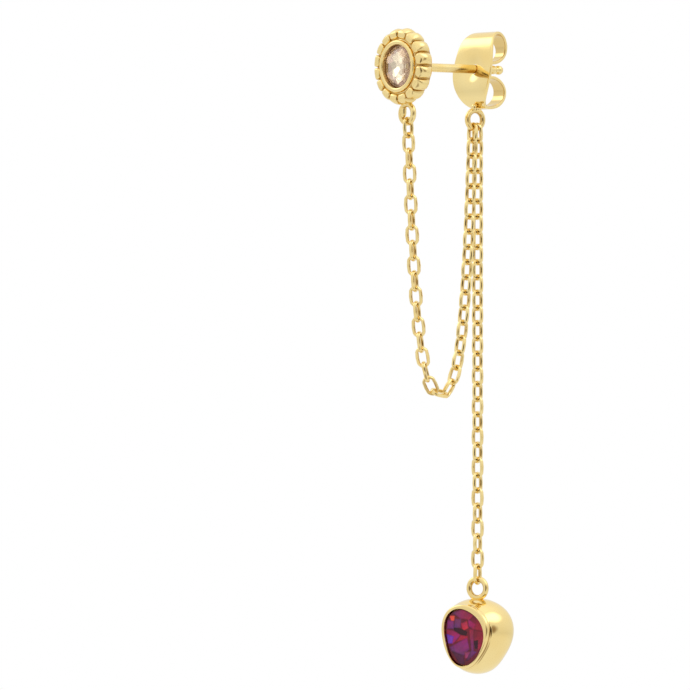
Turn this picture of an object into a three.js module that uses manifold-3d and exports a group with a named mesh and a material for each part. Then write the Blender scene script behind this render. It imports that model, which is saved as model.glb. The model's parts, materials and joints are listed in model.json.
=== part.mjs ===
// A chain stud earring, held as it is worn: a beaded stud with a crystal, a post with a butterfly
// clutch, a fine chain that hangs from the stud to the clutch, and a second chain from the clutch
// down to a pebble-shaped pendant with a flat stone.
//
// Millimetres. +Z is up, -Y is the front of the ear and +Y is behind it.
// The origin is on the post's axis, in the middle of the stretch that passes through the ear lobe.

import * as THREE from 'three';
import { mergeVertices } from 'three/addons/utils/BufferGeometryUtils.js';
import Module from 'manifold-3d';

const manifold = await Module();
manifold.setup();

// ---- Stud: a cup with a bezel, a ring of beads round it, a post and a soldered ring ----
const STUD_BACK_Y = -3.9;
const STUD_PLATE_R = 2.8;
const STUD_PLATE_T = 0.55;
const BEZEL_FRONT_Y = -5.75;
const BEZEL_R = 2.375;
const BEZEL_WALL = 0.42;
const BEZEL_EDGE = 0.12;
const CRYSTAL_GAP = 0.05;
const CRYSTAL_FACE_Y = -5.62;
const CRYSTAL_GIRDLE_Y = -5.3;
const CRYSTAL_TABLE_R = 0.75;
const CRYSTAL_GIRDLE_T = 0.2;
const CRYSTAL_BACK_SHARE = 0.8;
const CRYSTAL_FACETS = 16;
// How far a cut starts in front of the metal.
const CUT_REACH = 1;

const BEAD_COUNT = 16;
const BEAD_RING_R = 2.86;
const BEAD_R = 0.55;
const BEAD_END_R = 0.4;
const BEAD_FRONT_Y = -5.65;
const BEAD_BACK_Y = -4.0;
const BEAD_SHOULDER = 0.28;
const BEAD_SIDES = 8;

const POST_R = 0.4;
const POST_END_Y = 7.05;
const POST_TIP = 0.3;
const POST_SHOULDER = { r: 0.75, back: 0.35 };
const POST_SIDES = 10;

// ---- Rings that are soldered to the stud, the clutch and the pendant ----
const RING_WIRE = 0.54;
const RING_SIDES = 6;
const RING_STEPS = 16;
const STUD_RING = { outer: 2.25, y: -4.36, z: -4.245, turn: 0 };
const CLUTCH_RING = { outer: 2.25, y: 3.8, z: -4.605, turn: 85 };
// The pendant's ring is turned from the pebble by this much.
const PENDANT_RING = { outer: 2.3, turn: 10 };
// The middles of the drops of solder that hold them.
const SOLDER_R = 0.36;
const STUD_SOLDER = { y: -4.36, z: -3.25 };
const CLUTCH_SOLDER = { y: 4.12, z: -3.62 };

// ---- Butterfly clutch: one polished strip, rolled into a scroll above and below its plate ----
const STRIP_T = 0.28;
const STRIP_STEPS = 38;
const STRIP_CROSS = 2;
const CLUTCH_HOLE = { r: 0.48, length: 2, y: 3.5 };
// The middle of the strip from the end of the upper scroll to the end of the lower one.
const STRIP = [
  { y: 4.55, z: 0.86, half: 0.5 },
  { y: 5.25, z: 0.62, half: 0.55 },
  { y: 6.1, z: 0.7, half: 0.6 },
  { y: 6.85, z: 1.25, half: 0.62 },
  { y: 7.0, z: 2.05, half: 0.72 },
  { y: 6.6, z: 2.85, half: 0.92 },
  { y: 5.85, z: 3.28, half: 1.15 },
  { y: 5.05, z: 3.18, half: 1.42 },
  { y: 4.38, z: 2.5, half: 1.85 },
  { y: 3.9, z: 1.55, half: 2.28 },
  { y: 3.62, z: 0.6, half: 2.52 },
  { y: 3.46, z: -0.35, half: 2.6 },
  { y: 3.36, z: -1.25, half: 2.42 },
  { y: 3.42, z: -2.1, half: 2.08 },
  { y: 3.7, z: -2.95, half: 1.5 },
  { y: 4.3, z: -3.45, half: 1.0 },
  { y: 5.15, z: -3.5, half: 0.88 },
  { y: 6.05, z: -3.25, half: 0.82 },
  { y: 6.7, z: -2.6, half: 0.78 },
  { y: 6.8, z: -1.8, half: 0.75 },
  { y: 6.35, z: -1.1, half: 0.7 },
  { y: 5.55, z: -0.72, half: 0.65 },
  { y: 4.7, z: -0.78, half: 0.6 },
];

// ---- Chain: oval links, each at a right angle to the one before it ----
const LINK_WIDTH = 1.24;
const LINK_WIRE = 0.31;
const LINK_ACROSS = 0.36;
const LINK_PITCH = 1.39;
const LINK_STEPS = 12;
const LINK_WIRE_SIDES = 4;
const LINK_BITE = 0.02;
const LINK_CLEARANCE = 0.03;
const QUARTER_TURN = 90;

// Each chain meets the clutch's ring at the depth of its hook, and swings clear of the other at x and y.
// The front chain starts on the stud's ring, a little aside of its lowest point.
const FRONT_CHAIN = { links: 37, stretch: 4, startX: 0.1, hookY: 3.54, x: 0.16, y: 3.33 };
const DROP_CHAIN = { links: 30, stretch: 5, hookY: 4.03, x: -0.24, y: 4.31 };
const SETTLING_ROUNDS = 200;
// How far the links of a chain are turned about its run, apart from the quarter turns, in degrees.
const FRONT_CHAIN_TWIST = [
  { link: 1, turn: 98 },
  { link: 3, turn: 120 },
  { link: 14, turn: 120 },
  { link: 17, turn: 130 },
  { link: 22, turn: 178 },
  { link: 37, turn: 178 },
];
const DROP_CHAIN_TWIST = [
  { link: 1, turn: 2 },
  { link: 14, turn: 7 },
  { link: 24, turn: 12 },
  { link: 30, turn: 22 },
];

// ---- Pendant: a pebble-shaped cup with a flat stone, and its ring ----
const PEBBLE_R = 3.3;
const PENDANT_TURN = 9;
const PENDANT_MIDDLE_Z = -4.16;
const PEBBLE = { oval: 0.023, ovalTurn: 165, lobes: 0.051, lobeTurn: 60.8 };
const STONE_R = 2.4;
const STONE = { oval: 0.064, ovalTurn: -153, lobes: 0.056, lobeTurn: 45.5, down: 0.2 };
const STONE_GAP = 0.06;
const STONE_T = 0.9;
const STONE_SUNK = 0.2;
const PENDANT_STEPS = 32;
// The pebble's wall from the middle of its back to its rim: depth behind the ring, and radius.
const PEBBLE_WALL = [
  { y: 2.45, share: 0.0 },
  { y: 2.2, share: 0.68 },
  { y: 1.75, share: 0.87 },
  { y: 1.1, share: 0.975 },
  { y: 0.3, share: 1.0 },
  { y: -0.6, share: 0.965 },
  { y: -1.5, share: 0.88 },
  { y: -1.98, share: 0.83 },
  { y: -2.08, share: 0.79 },
];
const PENDANT_RIM_Y = -2.08;

const goldMaterial = new THREE.MeshStandardMaterial({ color: 0xe8cd86, roughness: 0.2, metalness: 1 });
const crystalMaterial = new THREE.MeshStandardMaterial({ color: 0xd9bfae, roughness: 0.08, metalness: 0 });
const stoneMaterial = new THREE.MeshStandardMaterial({ color: 0x7d1a4a, roughness: 0.12, metalness: 0 });

// A closed geometry as a solid that can be joined and cut.
function solidFrom(geometry) {
  const bare = geometry.clone();
  bare.deleteAttribute('normal');
  bare.deleteAttribute('uv');
  const merged = mergeVertices(bare);
  const index = merged.index.array;
  const kept = [];
  for (let i = 0; i < index.length; i += 3) {
    const [a, b, c] = [index[i], index[i + 1], index[i + 2]];
    if (a !== b && b !== c && c !== a) kept.push(a, b, c);
  }
  const mesh = new manifold.Mesh({
    numProp: 3,
    vertProperties: new Float32Array(merged.attributes.position.array),
    triVerts: new Uint32Array(kept),
  });
  return new manifold.Manifold(mesh);
}

function geometryFrom(solid) {
  const mesh = solid.getMesh();
  const geometry = new THREE.BufferGeometry();
  geometry.setAttribute('position', new THREE.BufferAttribute(mesh.vertProperties, 3));
  geometry.setIndex(new THREE.BufferAttribute(mesh.triVerts, 1));
  geometry.computeVertexNormals();
  return geometry;
}

function joined(geometries) {
  return geometries.map(solidFrom).reduce((whole, next) => whole.add(next));
}

// A form turned about the Y axis, from rows of radius and place on the axis, ends on the axis.
function turned(rows, sides) {
  return new THREE.LatheGeometry(rows.map(([r, y]) => new THREE.Vector2(r, y)), sides);
}

// A round wire ring that stands upright, its plane turned about Z from the XZ plane.
function ringGeometry(outer, turn) {
  const ring = new THREE.TorusGeometry((outer - RING_WIRE) / 2, RING_WIRE / 2, RING_SIDES, RING_STEPS);
  ring.rotateX(Math.PI / 2);
  ring.rotateZ(THREE.MathUtils.degToRad(turn));
  return ring;
}

function ringCentreRadius(ring) {
  return (ring.outer - RING_WIRE) / 2;
}

function solderGeometry(place) {
  return new THREE.SphereGeometry(SOLDER_R, RING_SIDES, RING_SIDES / 2).translate(0, place.y, place.z);
}

// ---- Stud ----

function cupGeometry() {
  const pocketR = BEZEL_R - BEZEL_WALL;
  const floorY = STUD_BACK_Y - STUD_PLATE_T;
  return turned([
    [0, floorY],
    [pocketR, floorY],
    [pocketR, BEZEL_FRONT_Y],
    [BEZEL_R - BEZEL_EDGE, BEZEL_FRONT_Y],
    [BEZEL_R, BEZEL_FRONT_Y + BEZEL_EDGE],
    [BEZEL_R, floorY],
    [STUD_PLATE_R, floorY],
    [STUD_PLATE_R, STUD_BACK_Y],
    [0, STUD_BACK_Y],
  ], BEAD_COUNT * 2);
}

function beadGeometry(number) {
  const bead = turned([
    [0, BEAD_FRONT_Y],
    [BEAD_END_R, BEAD_FRONT_Y],
    [BEAD_R, BEAD_FRONT_Y + BEAD_SHOULDER],
    [BEAD_R, BEAD_BACK_Y - BEAD_SHOULDER],
    [BEAD_END_R, BEAD_BACK_Y],
    [0, BEAD_BACK_Y],
  ], BEAD_SIDES);
  bead.rotateY(Math.PI / BEAD_SIDES);
  bead.translate(0, 0, BEAD_RING_R);
  bead.rotateY(((number + 0.5) / BEAD_COUNT) * Math.PI * 2);
  return bead;
}

function postGeometry() {
  return turned([
    [0, STUD_BACK_Y - STUD_PLATE_T / 2],
    [POST_R, STUD_BACK_Y - STUD_PLATE_T / 2],
    [POST_R, POST_END_Y - POST_TIP],
    [POST_R * POST_SHOULDER.r, POST_END_Y - POST_TIP * POST_SHOULDER.back],
    [0, POST_END_Y],
  ], POST_SIDES);
}

function studSetting() {
  const ring = ringGeometry(STUD_RING.outer, STUD_RING.turn).translate(0, STUD_RING.y, STUD_RING.z);
  const beads = Array.from({ length: BEAD_COUNT }, (_, number) => beadGeometry(number));
  const pocket = turned([
    [0, BEZEL_FRONT_Y - CUT_REACH],
    [BEZEL_R - BEZEL_WALL, BEZEL_FRONT_Y - CUT_REACH],
    [BEZEL_R - BEZEL_WALL, STUD_BACK_Y - STUD_PLATE_T],
    [0, STUD_BACK_Y - STUD_PLATE_T],
  ], BEAD_COUNT * 2);
  const metal = [cupGeometry(), ...beads, ring, solderGeometry(STUD_SOLDER), postGeometry()];
  return joined(metal).subtract(solidFrom(pocket));
}

function studCrystal() {
  const r = BEZEL_R - BEZEL_WALL - CRYSTAL_GAP;
  return turned([
    [0, CRYSTAL_FACE_Y],
    [CRYSTAL_TABLE_R, CRYSTAL_FACE_Y],
    [r, CRYSTAL_GIRDLE_Y],
    [r, CRYSTAL_GIRDLE_Y + CRYSTAL_GIRDLE_T],
    [r * CRYSTAL_BACK_SHARE, STUD_BACK_Y - STUD_PLATE_T - CRYSTAL_GAP],
    [0, STUD_BACK_Y - STUD_PLATE_T - CRYSTAL_GAP],
  ], CRYSTAL_FACETS);
}

// ---- Clutch ----

// A flat bar that is bent along the strip's middle line, each step as wide as its row says.
function stripGeometry() {
  const path = new THREE.CatmullRomCurve3(STRIP.map(({ y, z, half }) => new THREE.Vector3(half, y, z)));
  const bar = new THREE.BoxGeometry(2, 1, 1, STRIP_CROSS, 1, STRIP_STEPS);
  const spots = bar.attributes.position;
  for (let i = 0; i < spots.count; i += 1) {
    const along = spots.getZ(i) + 0.5;
    const middle = path.getPoint(along);
    const run = path.getTangent(along);
    const side = new THREE.Vector2(run.z, -run.y).normalize().multiplyScalar(spots.getY(i) * STRIP_T);
    spots.setXYZ(i, spots.getX(i) * middle.x, middle.y + side.x, middle.z + side.y);
  }
  return bar;
}

function clutch() {
  const ring = ringGeometry(CLUTCH_RING.outer, CLUTCH_RING.turn);
  ring.translate(0, CLUTCH_RING.y, CLUTCH_RING.z);
  const hole = new THREE.CylinderGeometry(CLUTCH_HOLE.r, CLUTCH_HOLE.r, CLUTCH_HOLE.length, POST_SIDES);
  hole.translate(0, CLUTCH_HOLE.y, 0);
  return joined([stripGeometry(), ring, solderGeometry(CLUTCH_SOLDER)]).subtract(solidFrom(hole));
}

// ---- Chain ----

// The twist at a link, read off a table of links and turns.
function twistAt(table, link) {
  const next = table.findIndex((row) => row.link >= link);
  if (next <= 0) return table[0].turn;
  const [from, to] = [table[next - 1], table[next]];
  return THREE.MathUtils.mapLinear(link, from.link, to.link, from.turn, to.turn);
}

// Where the links of a hanging chain meet: from each link to the next the slope grows by the same
// amount, and that amount and the level link are found so that the chain ends where it should.
function hangingJoints(start, end, links) {
  const span = Math.hypot(end.x - start.x, end.y - start.y);
  const rise = end.z - start.z;
  let growth = 1;
  let level = (links + 1) / 2;
  let steps = [];
  for (let round = 0; round < SETTLING_ROUNDS; round += 1) {
    steps = Array.from({ length: links }, (_, i) => Math.atan(growth * (i + 1 - level)));
    const across = steps.reduce((sum, slope) => sum + LINK_PITCH * Math.cos(slope), 0);
    const up = steps.reduce((sum, slope) => sum + LINK_PITCH * Math.sin(slope), 0);
    growth *= across / span;
    level += (up - rise) / (2 * LINK_PITCH);
  }
  const flat = new THREE.Vector3(end.x - start.x, end.y - start.y, 0).normalize();
  const joints = [start.clone()];
  for (const slope of steps) {
    const step = flat.clone().multiplyScalar(Math.cos(slope)).setZ(Math.sin(slope));
    joints.push(joints[joints.length - 1].clone().addScaledVector(step, LINK_PITCH));
  }
  return joints;
}

function plumbJoints(start, links) {
  return Array.from({ length: links + 1 }, (_, i) => new THREE.Vector3(start.x, start.y, start.z - i * LINK_PITCH));
}

// One link between two joints. Its wire reaches past a joint by the bite where it is joined to its
// neighbour, and stays short of the neighbour's wire by the clearance where it hangs loose.
function linkGeometry(from, to, turn, looseStart, looseEnd) {
  const middleR = (LINK_WIDTH - LINK_WIRE) / 2;
  const link = new THREE.TorusGeometry(middleR, LINK_WIRE / 2, LINK_WIRE_SIDES, LINK_STEPS);
  const innerR = middleR - LINK_WIRE / 2;
  const upper = LINK_PITCH / 2 - innerR + (looseStart ? LINK_CLEARANCE : -LINK_BITE);
  const lower = LINK_PITCH / 2 - innerR + (looseEnd ? LINK_CLEARANCE : -LINK_BITE);
  const spots = link.attributes.position;
  for (let i = 0; i < spots.count; i += 1) {
    const y = spots.getY(i);
    if (y > LINK_WIRE / 4) spots.setY(i, y + upper);
    if (y < -LINK_WIRE / 4) spots.setY(i, y - lower);
    spots.setZ(i, (spots.getZ(i) * LINK_ACROSS) / LINK_WIRE);
  }
  const run = to.clone().sub(from).normalize();
  const side = new THREE.Vector3(1, 0, 0).addScaledVector(run, -run.x).normalize();
  const fore = side.clone().cross(run);
  const angle = THREE.MathUtils.degToRad(turn);
  const width = side.multiplyScalar(Math.cos(angle)).addScaledVector(fore, Math.sin(angle));
  const up = run.negate();
  const frame = new THREE.Matrix4().makeBasis(width, up, width.clone().cross(up));
  frame.setPosition(from.clone().add(to).multiplyScalar(0.5));
  return link.applyMatrix4(frame);
}

// A chain as short stretches of joined links, loose from each other. The last one takes what is left over.
function chainStretches(joints, twist, stretch) {
  const stretches = [];
  let first = 1;
  while (first < joints.length) {
    const last = joints.length - first < 2 * stretch ? joints.length - 1 : first + stretch - 1;
    const links = [];
    for (let link = first; link <= last; link += 1) {
      const turn = twistAt(twist, link) + QUARTER_TURN * (link - 1);
      links.push(linkGeometry(joints[link - 1], joints[link], turn, link === first, link === last));
    }
    stretches.push(geometryFrom(joined(links)));
    first = last + 1;
  }
  return stretches;
}

// The height at which a link hangs on a ring's wire, at a distance from the ring's lowest point.
function restHeight(ring, aside) {
  const r = ringCentreRadius(ring);
  return ring.z - Math.sqrt(r * r - aside * aside) + RING_WIRE / 2;
}

// Where a chain hangs on the clutch's ring.
function clutchHook({ hookY }) {
  const aside = hookY - CLUTCH_RING.y;
  const x = aside / Math.tan(THREE.MathUtils.degToRad(CLUTCH_RING.turn));
  return new THREE.Vector3(x, hookY, restHeight(CLUTCH_RING, aside));
}

// One link's length below a hook, over the place where the chain hangs.
function belowHook(hook, { x, y }) {
  const drop = Math.sqrt(LINK_PITCH ** 2 - (x - hook.x) ** 2 - (y - hook.y) ** 2);
  return new THREE.Vector3(x, y, hook.z - drop);
}

// ---- Pendant, in its own frame: origin in the middle of its ring, front to -Y ----

// Presses a form that was turned about Y into a pebble outline.
function pressed(geometry, shape) {
  const spots = geometry.attributes.position;
  for (let i = 0; i < spots.count; i += 1) {
    const round = Math.atan2(spots.getZ(i), spots.getX(i));
    const oval = shape.oval * Math.cos(2 * round - THREE.MathUtils.degToRad(shape.ovalTurn));
    const lobes = shape.lobes * Math.cos(3 * round - THREE.MathUtils.degToRad(shape.lobeTurn));
    const grow = 1 + oval + lobes;
    spots.setX(i, spots.getX(i) * grow);
    spots.setZ(i, spots.getZ(i) * grow);
  }
  return geometry;
}

function stoneGeometry(r, frontY, backY) {
  const stone = turned([[0, frontY], [r, frontY], [r, backY], [0, backY]], PENDANT_STEPS);
  return pressed(stone, STONE);
}

function pendantSetting() {
  const rim = [0, PENDANT_RIM_Y];
  const wall = PEBBLE_WALL.map(({ y, share }) => [share * PEBBLE_R, y]).reverse();
  const pebble = pressed(turned([rim, ...wall], PENDANT_STEPS), PEBBLE);
  pebble.translate(0, 0, PENDANT_MIDDLE_Z);
  const seatBack = PENDANT_RIM_Y + STONE_SUNK + STONE_T + STONE_GAP;
  const seat = stoneGeometry(STONE_R + STONE_GAP, PENDANT_RIM_Y - CUT_REACH, seatBack);
  seat.translate(0, 0, PENDANT_MIDDLE_Z - STONE.down);
  return joined([pebble, ringGeometry(PENDANT_RING.outer, PENDANT_RING.turn)]).subtract(solidFrom(seat));
}

function pendantStone() {
  const front = PENDANT_RIM_Y + STONE_SUNK;
  return stoneGeometry(STONE_R, front, front + STONE_T).translate(0, 0, PENDANT_MIDDLE_Z - STONE.down);
}

// ---- The earring ----

function named(name, geometry, material) {
  const mesh = new THREE.Mesh(geometry, material);
  mesh.name = name;
  return mesh;
}

function buildEarring() {
  const earring = new THREE.Group();
  earring.add(named('stud_setting', geometryFrom(studSetting()), goldMaterial));
  earring.add(named('stud_crystal', studCrystal(), crystalMaterial));
  earring.add(named('clutch', geometryFrom(clutch()), goldMaterial));

  const startX = FRONT_CHAIN.startX;
  const frontStart = new THREE.Vector3(startX, STUD_RING.y, restHeight(STUD_RING, startX));
  const frontHook = clutchHook(FRONT_CHAIN);
  const frontJoints = hangingJoints(frontStart, belowHook(frontHook, FRONT_CHAIN), FRONT_CHAIN.links - 1);
  frontJoints.push(frontHook);
  chainStretches(frontJoints, FRONT_CHAIN_TWIST, FRONT_CHAIN.stretch).forEach((stretch, i) => {
    earring.add(named(`front_chain_${i + 1}`, stretch, goldMaterial));
  });

  const dropHook = clutchHook(DROP_CHAIN);
  const dropJoints = [dropHook, ...plumbJoints(belowHook(dropHook, DROP_CHAIN), DROP_CHAIN.links - 1)];
  chainStretches(dropJoints, DROP_CHAIN_TWIST, DROP_CHAIN.stretch).forEach((stretch, i) => {
    earring.add(named(`drop_chain_${i + 1}`, stretch, goldMaterial));
  });

  const pendant = new THREE.Group();
  const hang = dropJoints[DROP_CHAIN.links];
  pendant.position.set(hang.x, hang.y, hang.z + RING_WIRE / 2 - ringCentreRadius(PENDANT_RING));
  pendant.rotation.z = THREE.MathUtils.degToRad(PENDANT_TURN);
  pendant.add(named('pendant_setting', geometryFrom(pendantSetting()), goldMaterial));
  pendant.add(named('pendant_stone', pendantStone(), stoneMaterial));
  earring.add(pendant);
  return earring;
}

const group = buildEarring();

export default group;
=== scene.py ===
"""A chain stud earring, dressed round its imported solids.

A beaded stud with a crystal sits on a post with a butterfly clutch. A fine chain hangs from the
stud to the clutch, and a second chain drops from the clutch to a pebble pendant with a mosaic stone.
Every piece is modelled at the bench in millimetres and then brought to its real size in metres.
"""

import json
import math

import bmesh
import bpy
from bpy.props import FloatProperty, FloatVectorProperty, IntProperty, PointerProperty
from bpy.types import Operator, Panel, PropertyGroup
from mathutils import Matrix, Vector


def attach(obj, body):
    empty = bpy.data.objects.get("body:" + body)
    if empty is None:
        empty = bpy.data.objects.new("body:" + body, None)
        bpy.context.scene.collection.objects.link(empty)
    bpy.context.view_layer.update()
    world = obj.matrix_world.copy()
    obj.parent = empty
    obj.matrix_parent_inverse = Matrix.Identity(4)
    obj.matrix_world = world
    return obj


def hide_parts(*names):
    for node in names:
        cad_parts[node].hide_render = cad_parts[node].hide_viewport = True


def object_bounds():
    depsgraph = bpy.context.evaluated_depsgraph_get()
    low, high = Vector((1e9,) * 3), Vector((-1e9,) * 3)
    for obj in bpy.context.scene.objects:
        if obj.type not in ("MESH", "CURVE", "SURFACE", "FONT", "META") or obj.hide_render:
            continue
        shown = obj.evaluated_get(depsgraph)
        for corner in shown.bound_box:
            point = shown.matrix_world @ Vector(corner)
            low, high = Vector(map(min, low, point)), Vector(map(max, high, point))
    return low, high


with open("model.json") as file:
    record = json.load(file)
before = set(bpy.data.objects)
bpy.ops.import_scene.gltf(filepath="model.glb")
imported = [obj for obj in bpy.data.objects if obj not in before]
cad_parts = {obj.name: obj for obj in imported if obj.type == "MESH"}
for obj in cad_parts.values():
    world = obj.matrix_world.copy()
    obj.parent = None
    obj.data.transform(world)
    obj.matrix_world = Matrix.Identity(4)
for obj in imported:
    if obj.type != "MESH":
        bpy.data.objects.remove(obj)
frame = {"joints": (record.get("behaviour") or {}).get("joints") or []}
CAD_BOX = [list(corner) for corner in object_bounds()]

bl_info = {
    "name": "Chain Stud Earring",
    "version": (1, 0, 0),
    "blender": (4, 5, 0),
    "location": "3D View > Sidebar > Earring",
    "description": "Models a beaded chain stud earring round its packed solids",
    "category": "Add Mesh",
}

MM = 0.001
# Points closer than this, in millimetres, count as being at the same place, closer than the next are
# merged, and closer than the last to a cutting plane are on it.
NEAR = 0.01
DOUBLED = 0.0005
ON_PLANE = 0.00001
FULL_TURN = math.tau
QUARTER_TURN = math.pi / 2
STUD_BODY = "stud_and_chains"
PENDANT_BODY = "pendant"
SWING = frame["joints"][0]

# Stud, in millimetres: -Y is the front, and the origin is in the ear lobe.
STUD_BACK = -3.9
PLATE_FRONT = -4.45
BEZEL_FRONT = -5.75
BEZEL_DOME = {"height": 0.2, "fullness": 0.7, "steps": 10}
# The cup's side, from the foot of the bezel round to the back: how far out from the bezel, and depth.
CUP_SIDE = (
    {"out": 0.02, "y": -5.42},
    {"out": 0.1, "y": -5.38},
    {"out": 0.545, "y": -5.4},
    {"out": 0.665, "y": -5.24},
    {"out": 0.665, "y": -4.22},
    {"out": 0.545, "y": -3.94},
    {"out": 0.465, "y": -3.9},
)
CUP_ROUND = 96
# Painted shade fills the channel from this far out of the bezel.
CHANNEL_SHADE = 0.05

# Beads: where a block starts and ends, the share of its width at its foot, the sizes of the cuts along
# its edges and inside its front, and how that front is told from its other faces.
BEAD_FRONT = -5.66
BEAD_BACK = -4.0
BEAD_BLOCK = {"low": 2.5, "foot": 0.8, "edge": 0.27, "front": 0.06, "dish": 0.05}
BEAD_FACE = {"facing": -0.95, "area": 0.2}
# How its outside puffs up beyond the ring of beads, and how its back end is drawn in.
BEAD_RING = 2.86
BEAD_PUFF = {"height": 0.32, "settle": 0.4, "over": 0.5, "draw": 0.16}
# The share of a bead's half width from which painted shade darkens its sides, in the creases between the
# beads.
BEAD_CREASE = 0.72

# Post: the collar of solder at its foot, then its groove and its tip as shares of its radius, each
# at a distance from the end.
POST_END = 7.05
POST_COLLAR = {"sunk": 0.2, "thick": 0.16, "edge": 0.05}
POST_TIP = (
    {"back": 0.98, "share": 1.0},
    {"back": 0.9, "share": 0.78},
    {"back": 0.8, "share": 0.72},
    {"back": 0.7, "share": 0.8},
    {"back": 0.6, "share": 1.0},
    {"back": 0.42, "share": 1.06},
    {"back": 0.24, "share": 1.0},
    {"back": 0.1, "share": 0.78},
    {"back": 0.02, "share": 0.42},
    {"back": 0.0, "share": 0.0},
)
POST_ROUND = 40
# Its underside takes painted shade and a painted brown reflection of the clutch between these depths, in
# this many spans of mesh, and between these shares of its radius below the middle.
POST_SHADE = (-0.6, 3.3)
POST_SPANS = 6
POST_UNDER = (-0.1, 0.8)

# Crystal: the depths of its table and its point, the gap round it, and its rows of facets: how many,
# turned by how many of their own steps, slope in degrees, and a place that each one passes through,
# as a share of the radius and a depth.
CRYSTAL = {"table": -5.62, "point": -4.5, "gap": 0.05}
CROWN = (
    {"count": 8, "shift": 0.0, "slope": 24.0, "share": 0.98, "y": -5.3},
    {"count": 16, "shift": 0.5, "slope": 36.0, "share": 0.985, "y": -5.3},
    {"count": 8, "shift": 0.5, "slope": 12.0, "share": 0.56, "y": -5.62},
)
PAVILION = (
    {"count": 7, "shift": 0.0, "slope": 9.0, "share": 0.15, "y": -4.5},
    {"count": 9, "shift": 0.3, "slope": 14.0, "share": 0.45, "y": -4.6},
    {"count": 13, "shift": 0.6, "slope": 18.0, "share": 0.75, "y": -4.75},
    {"count": 16, "shift": 0.5, "slope": 20.0, "share": 0.95, "y": -4.855},
)
# The foil behind it: which way the foiled facets face, the tone of the dimmest one, how that changes
# from facet to facet as a painted sparkle, and where the rim of painted shade starts and how wide it is,
# as shares of the radius.
FOIL = {"facing": -0.05, "dimmed": 0.72, "step": 2.4, "rim": 0.75, "width": 0.2}
# After so many mirrored bounces inside the crystal the foil gives off a painted glow of this strength.
DEEP_LIGHT = {"bounces": 1.5, "glow": 0.3}

# The soldered rings, and the drops of solder that hold them: the middle and the half size of each.
STUD_RING = {"outer": 2.25, "y": -4.36, "z": -4.245, "turn": 0.0}
CLUTCH_RING = {"outer": 2.25, "y": 3.8, "z": -4.605, "turn": 85.0}
PENDANT_RING = {"outer": 2.3, "y": 0.0, "z": 0.0, "turn": 10.0}
SOLDER = {
    "stud_solder": {"at": (0.0, -4.36, -3.34), "size": (0.42, 0.32, 0.26)},
    "stud_solder_flow": {"at": (-0.6, -4.34, -4.08), "size": (0.36, 0.28, 0.6)},
    "clutch_solder": {"at": (0.0, 4.0, -3.68), "size": (0.4, 0.46, 0.3)},
    "clutch_solder_flow": {"at": (0.12, 3.55, -3.5), "size": (0.26, 0.2, 0.34)},
    "pendant_solder": {"at": (0.1, 0.1, -0.98), "size": (0.24, 0.24, 0.14)},
}
# How much wider a drop is from a share of its height upwards.
SOLDER_SPREAD = {"from": 0.3, "grow": 1.18}
# A ring's outside is flattened from this share of its wire outwards, to this share of its size, and
# painted shade darkens its inside by this much across its wire.
RING_ROLLED = {"from": 0.35, "size": 0.985}
RING_SHADE = 1.4

# The clutch strip's middle line, from the end of its upper scroll to the end of its lower one.
STRIP = (
    {"y": 4.55, "z": 0.86, "half": 0.5},
    {"y": 5.25, "z": 0.62, "half": 0.55},
    {"y": 6.1, "z": 0.7, "half": 0.6},
    {"y": 6.85, "z": 1.25, "half": 0.62},
    {"y": 7.0, "z": 2.05, "half": 0.72},
    {"y": 6.6, "z": 2.85, "half": 0.92},
    {"y": 5.82, "z": 3.3, "half": 1.22},
    {"y": 4.86, "z": 3.22, "half": 1.66},
    {"y": 4.16, "z": 2.56, "half": 2.08},
    {"y": 3.82, "z": 1.55, "half": 2.36},
    {"y": 3.62, "z": 0.6, "half": 2.52},
    {"y": 3.46, "z": -0.35, "half": 2.6},
    {"y": 3.36, "z": -1.25, "half": 2.42},
    {"y": 3.42, "z": -2.1, "half": 2.08},
    {"y": 3.7, "z": -2.95, "half": 1.5},
    {"y": 4.3, "z": -3.45, "half": 1.0},
    {"y": 5.15, "z": -3.5, "half": 0.88},
    {"y": 6.05, "z": -3.25, "half": 0.82},
    {"y": 6.7, "z": -2.6, "half": 0.78},
    {"y": 6.8, "z": -1.8, "half": 0.75},
    {"y": 6.35, "z": -1.1, "half": 0.7},
    {"y": 5.55, "z": -0.72, "half": 0.65},
    {"y": 4.7, "z": -0.78, "half": 0.6},
)
STRIP_STEPS = 60
STRIP_CUTS = 10
# How far the corners at its ends are drawn in, and how round its edges are.
STRIP_CORNER = 0.18
STRIP_EDGE = 0.05
# The hole for the post is drilled to this depth, and the plate is pressed in round it.
DRILL = {"y": 3.6, "depth": 1.6}
DIMPLE = {"radius": 1.7, "depth": 0.4, "behind": 4.2}
# The middles of the scrolls' hollows. Round them painted shade darkens the strip inside, within a reach
# and where it faces them by at least a share, by this much.
SCROLL_EYES = ({"y": 5.75, "z": 1.9}, {"y": 5.7, "z": -2.1})
SCROLL_SHADE = {"reach": 1.75, "facing": 0.3, "dimmed": 0.4}

# Chains: links in each and in a stretch, the depth of the hook on the clutch's ring, and where the
# chain swings clear of the other one.
FRONT_CHAIN = {"links": 37, "stretch": 4, "start_x": 0.1, "hook_y": 3.54, "x": 0.16, "y": 3.33}
DROP_CHAIN = {"links": 30, "stretch": 5, "hook_y": 4.03, "x": -0.24, "y": 4.31}
FRONT_TWIST = (
    {"link": 1, "turn": 98.0},
    {"link": 3, "turn": 120.0},
    {"link": 14, "turn": 120.0},
    {"link": 17, "turn": 130.0},
    {"link": 22, "turn": 178.0},
    {"link": 37, "turn": 178.0},
)
DROP_TWIST = (
    {"link": 1, "turn": 2.0},
    {"link": 14, "turn": 7.0},
    {"link": 24, "turn": 12.0},
    {"link": 30, "turn": 22.0},
)

SETTLING_ROUNDS = 200
# A link: how much longer than its pitch, the shares of its wire that are left flat on its faces and
# filed off its sides, how much rounder its long sides are, and how much painted shade darkens it inside.
LINK = {"slack": 0.004, "face": 0.44, "side": 0.08, "oval": 0.075, "shaded": 1.7}

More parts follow.
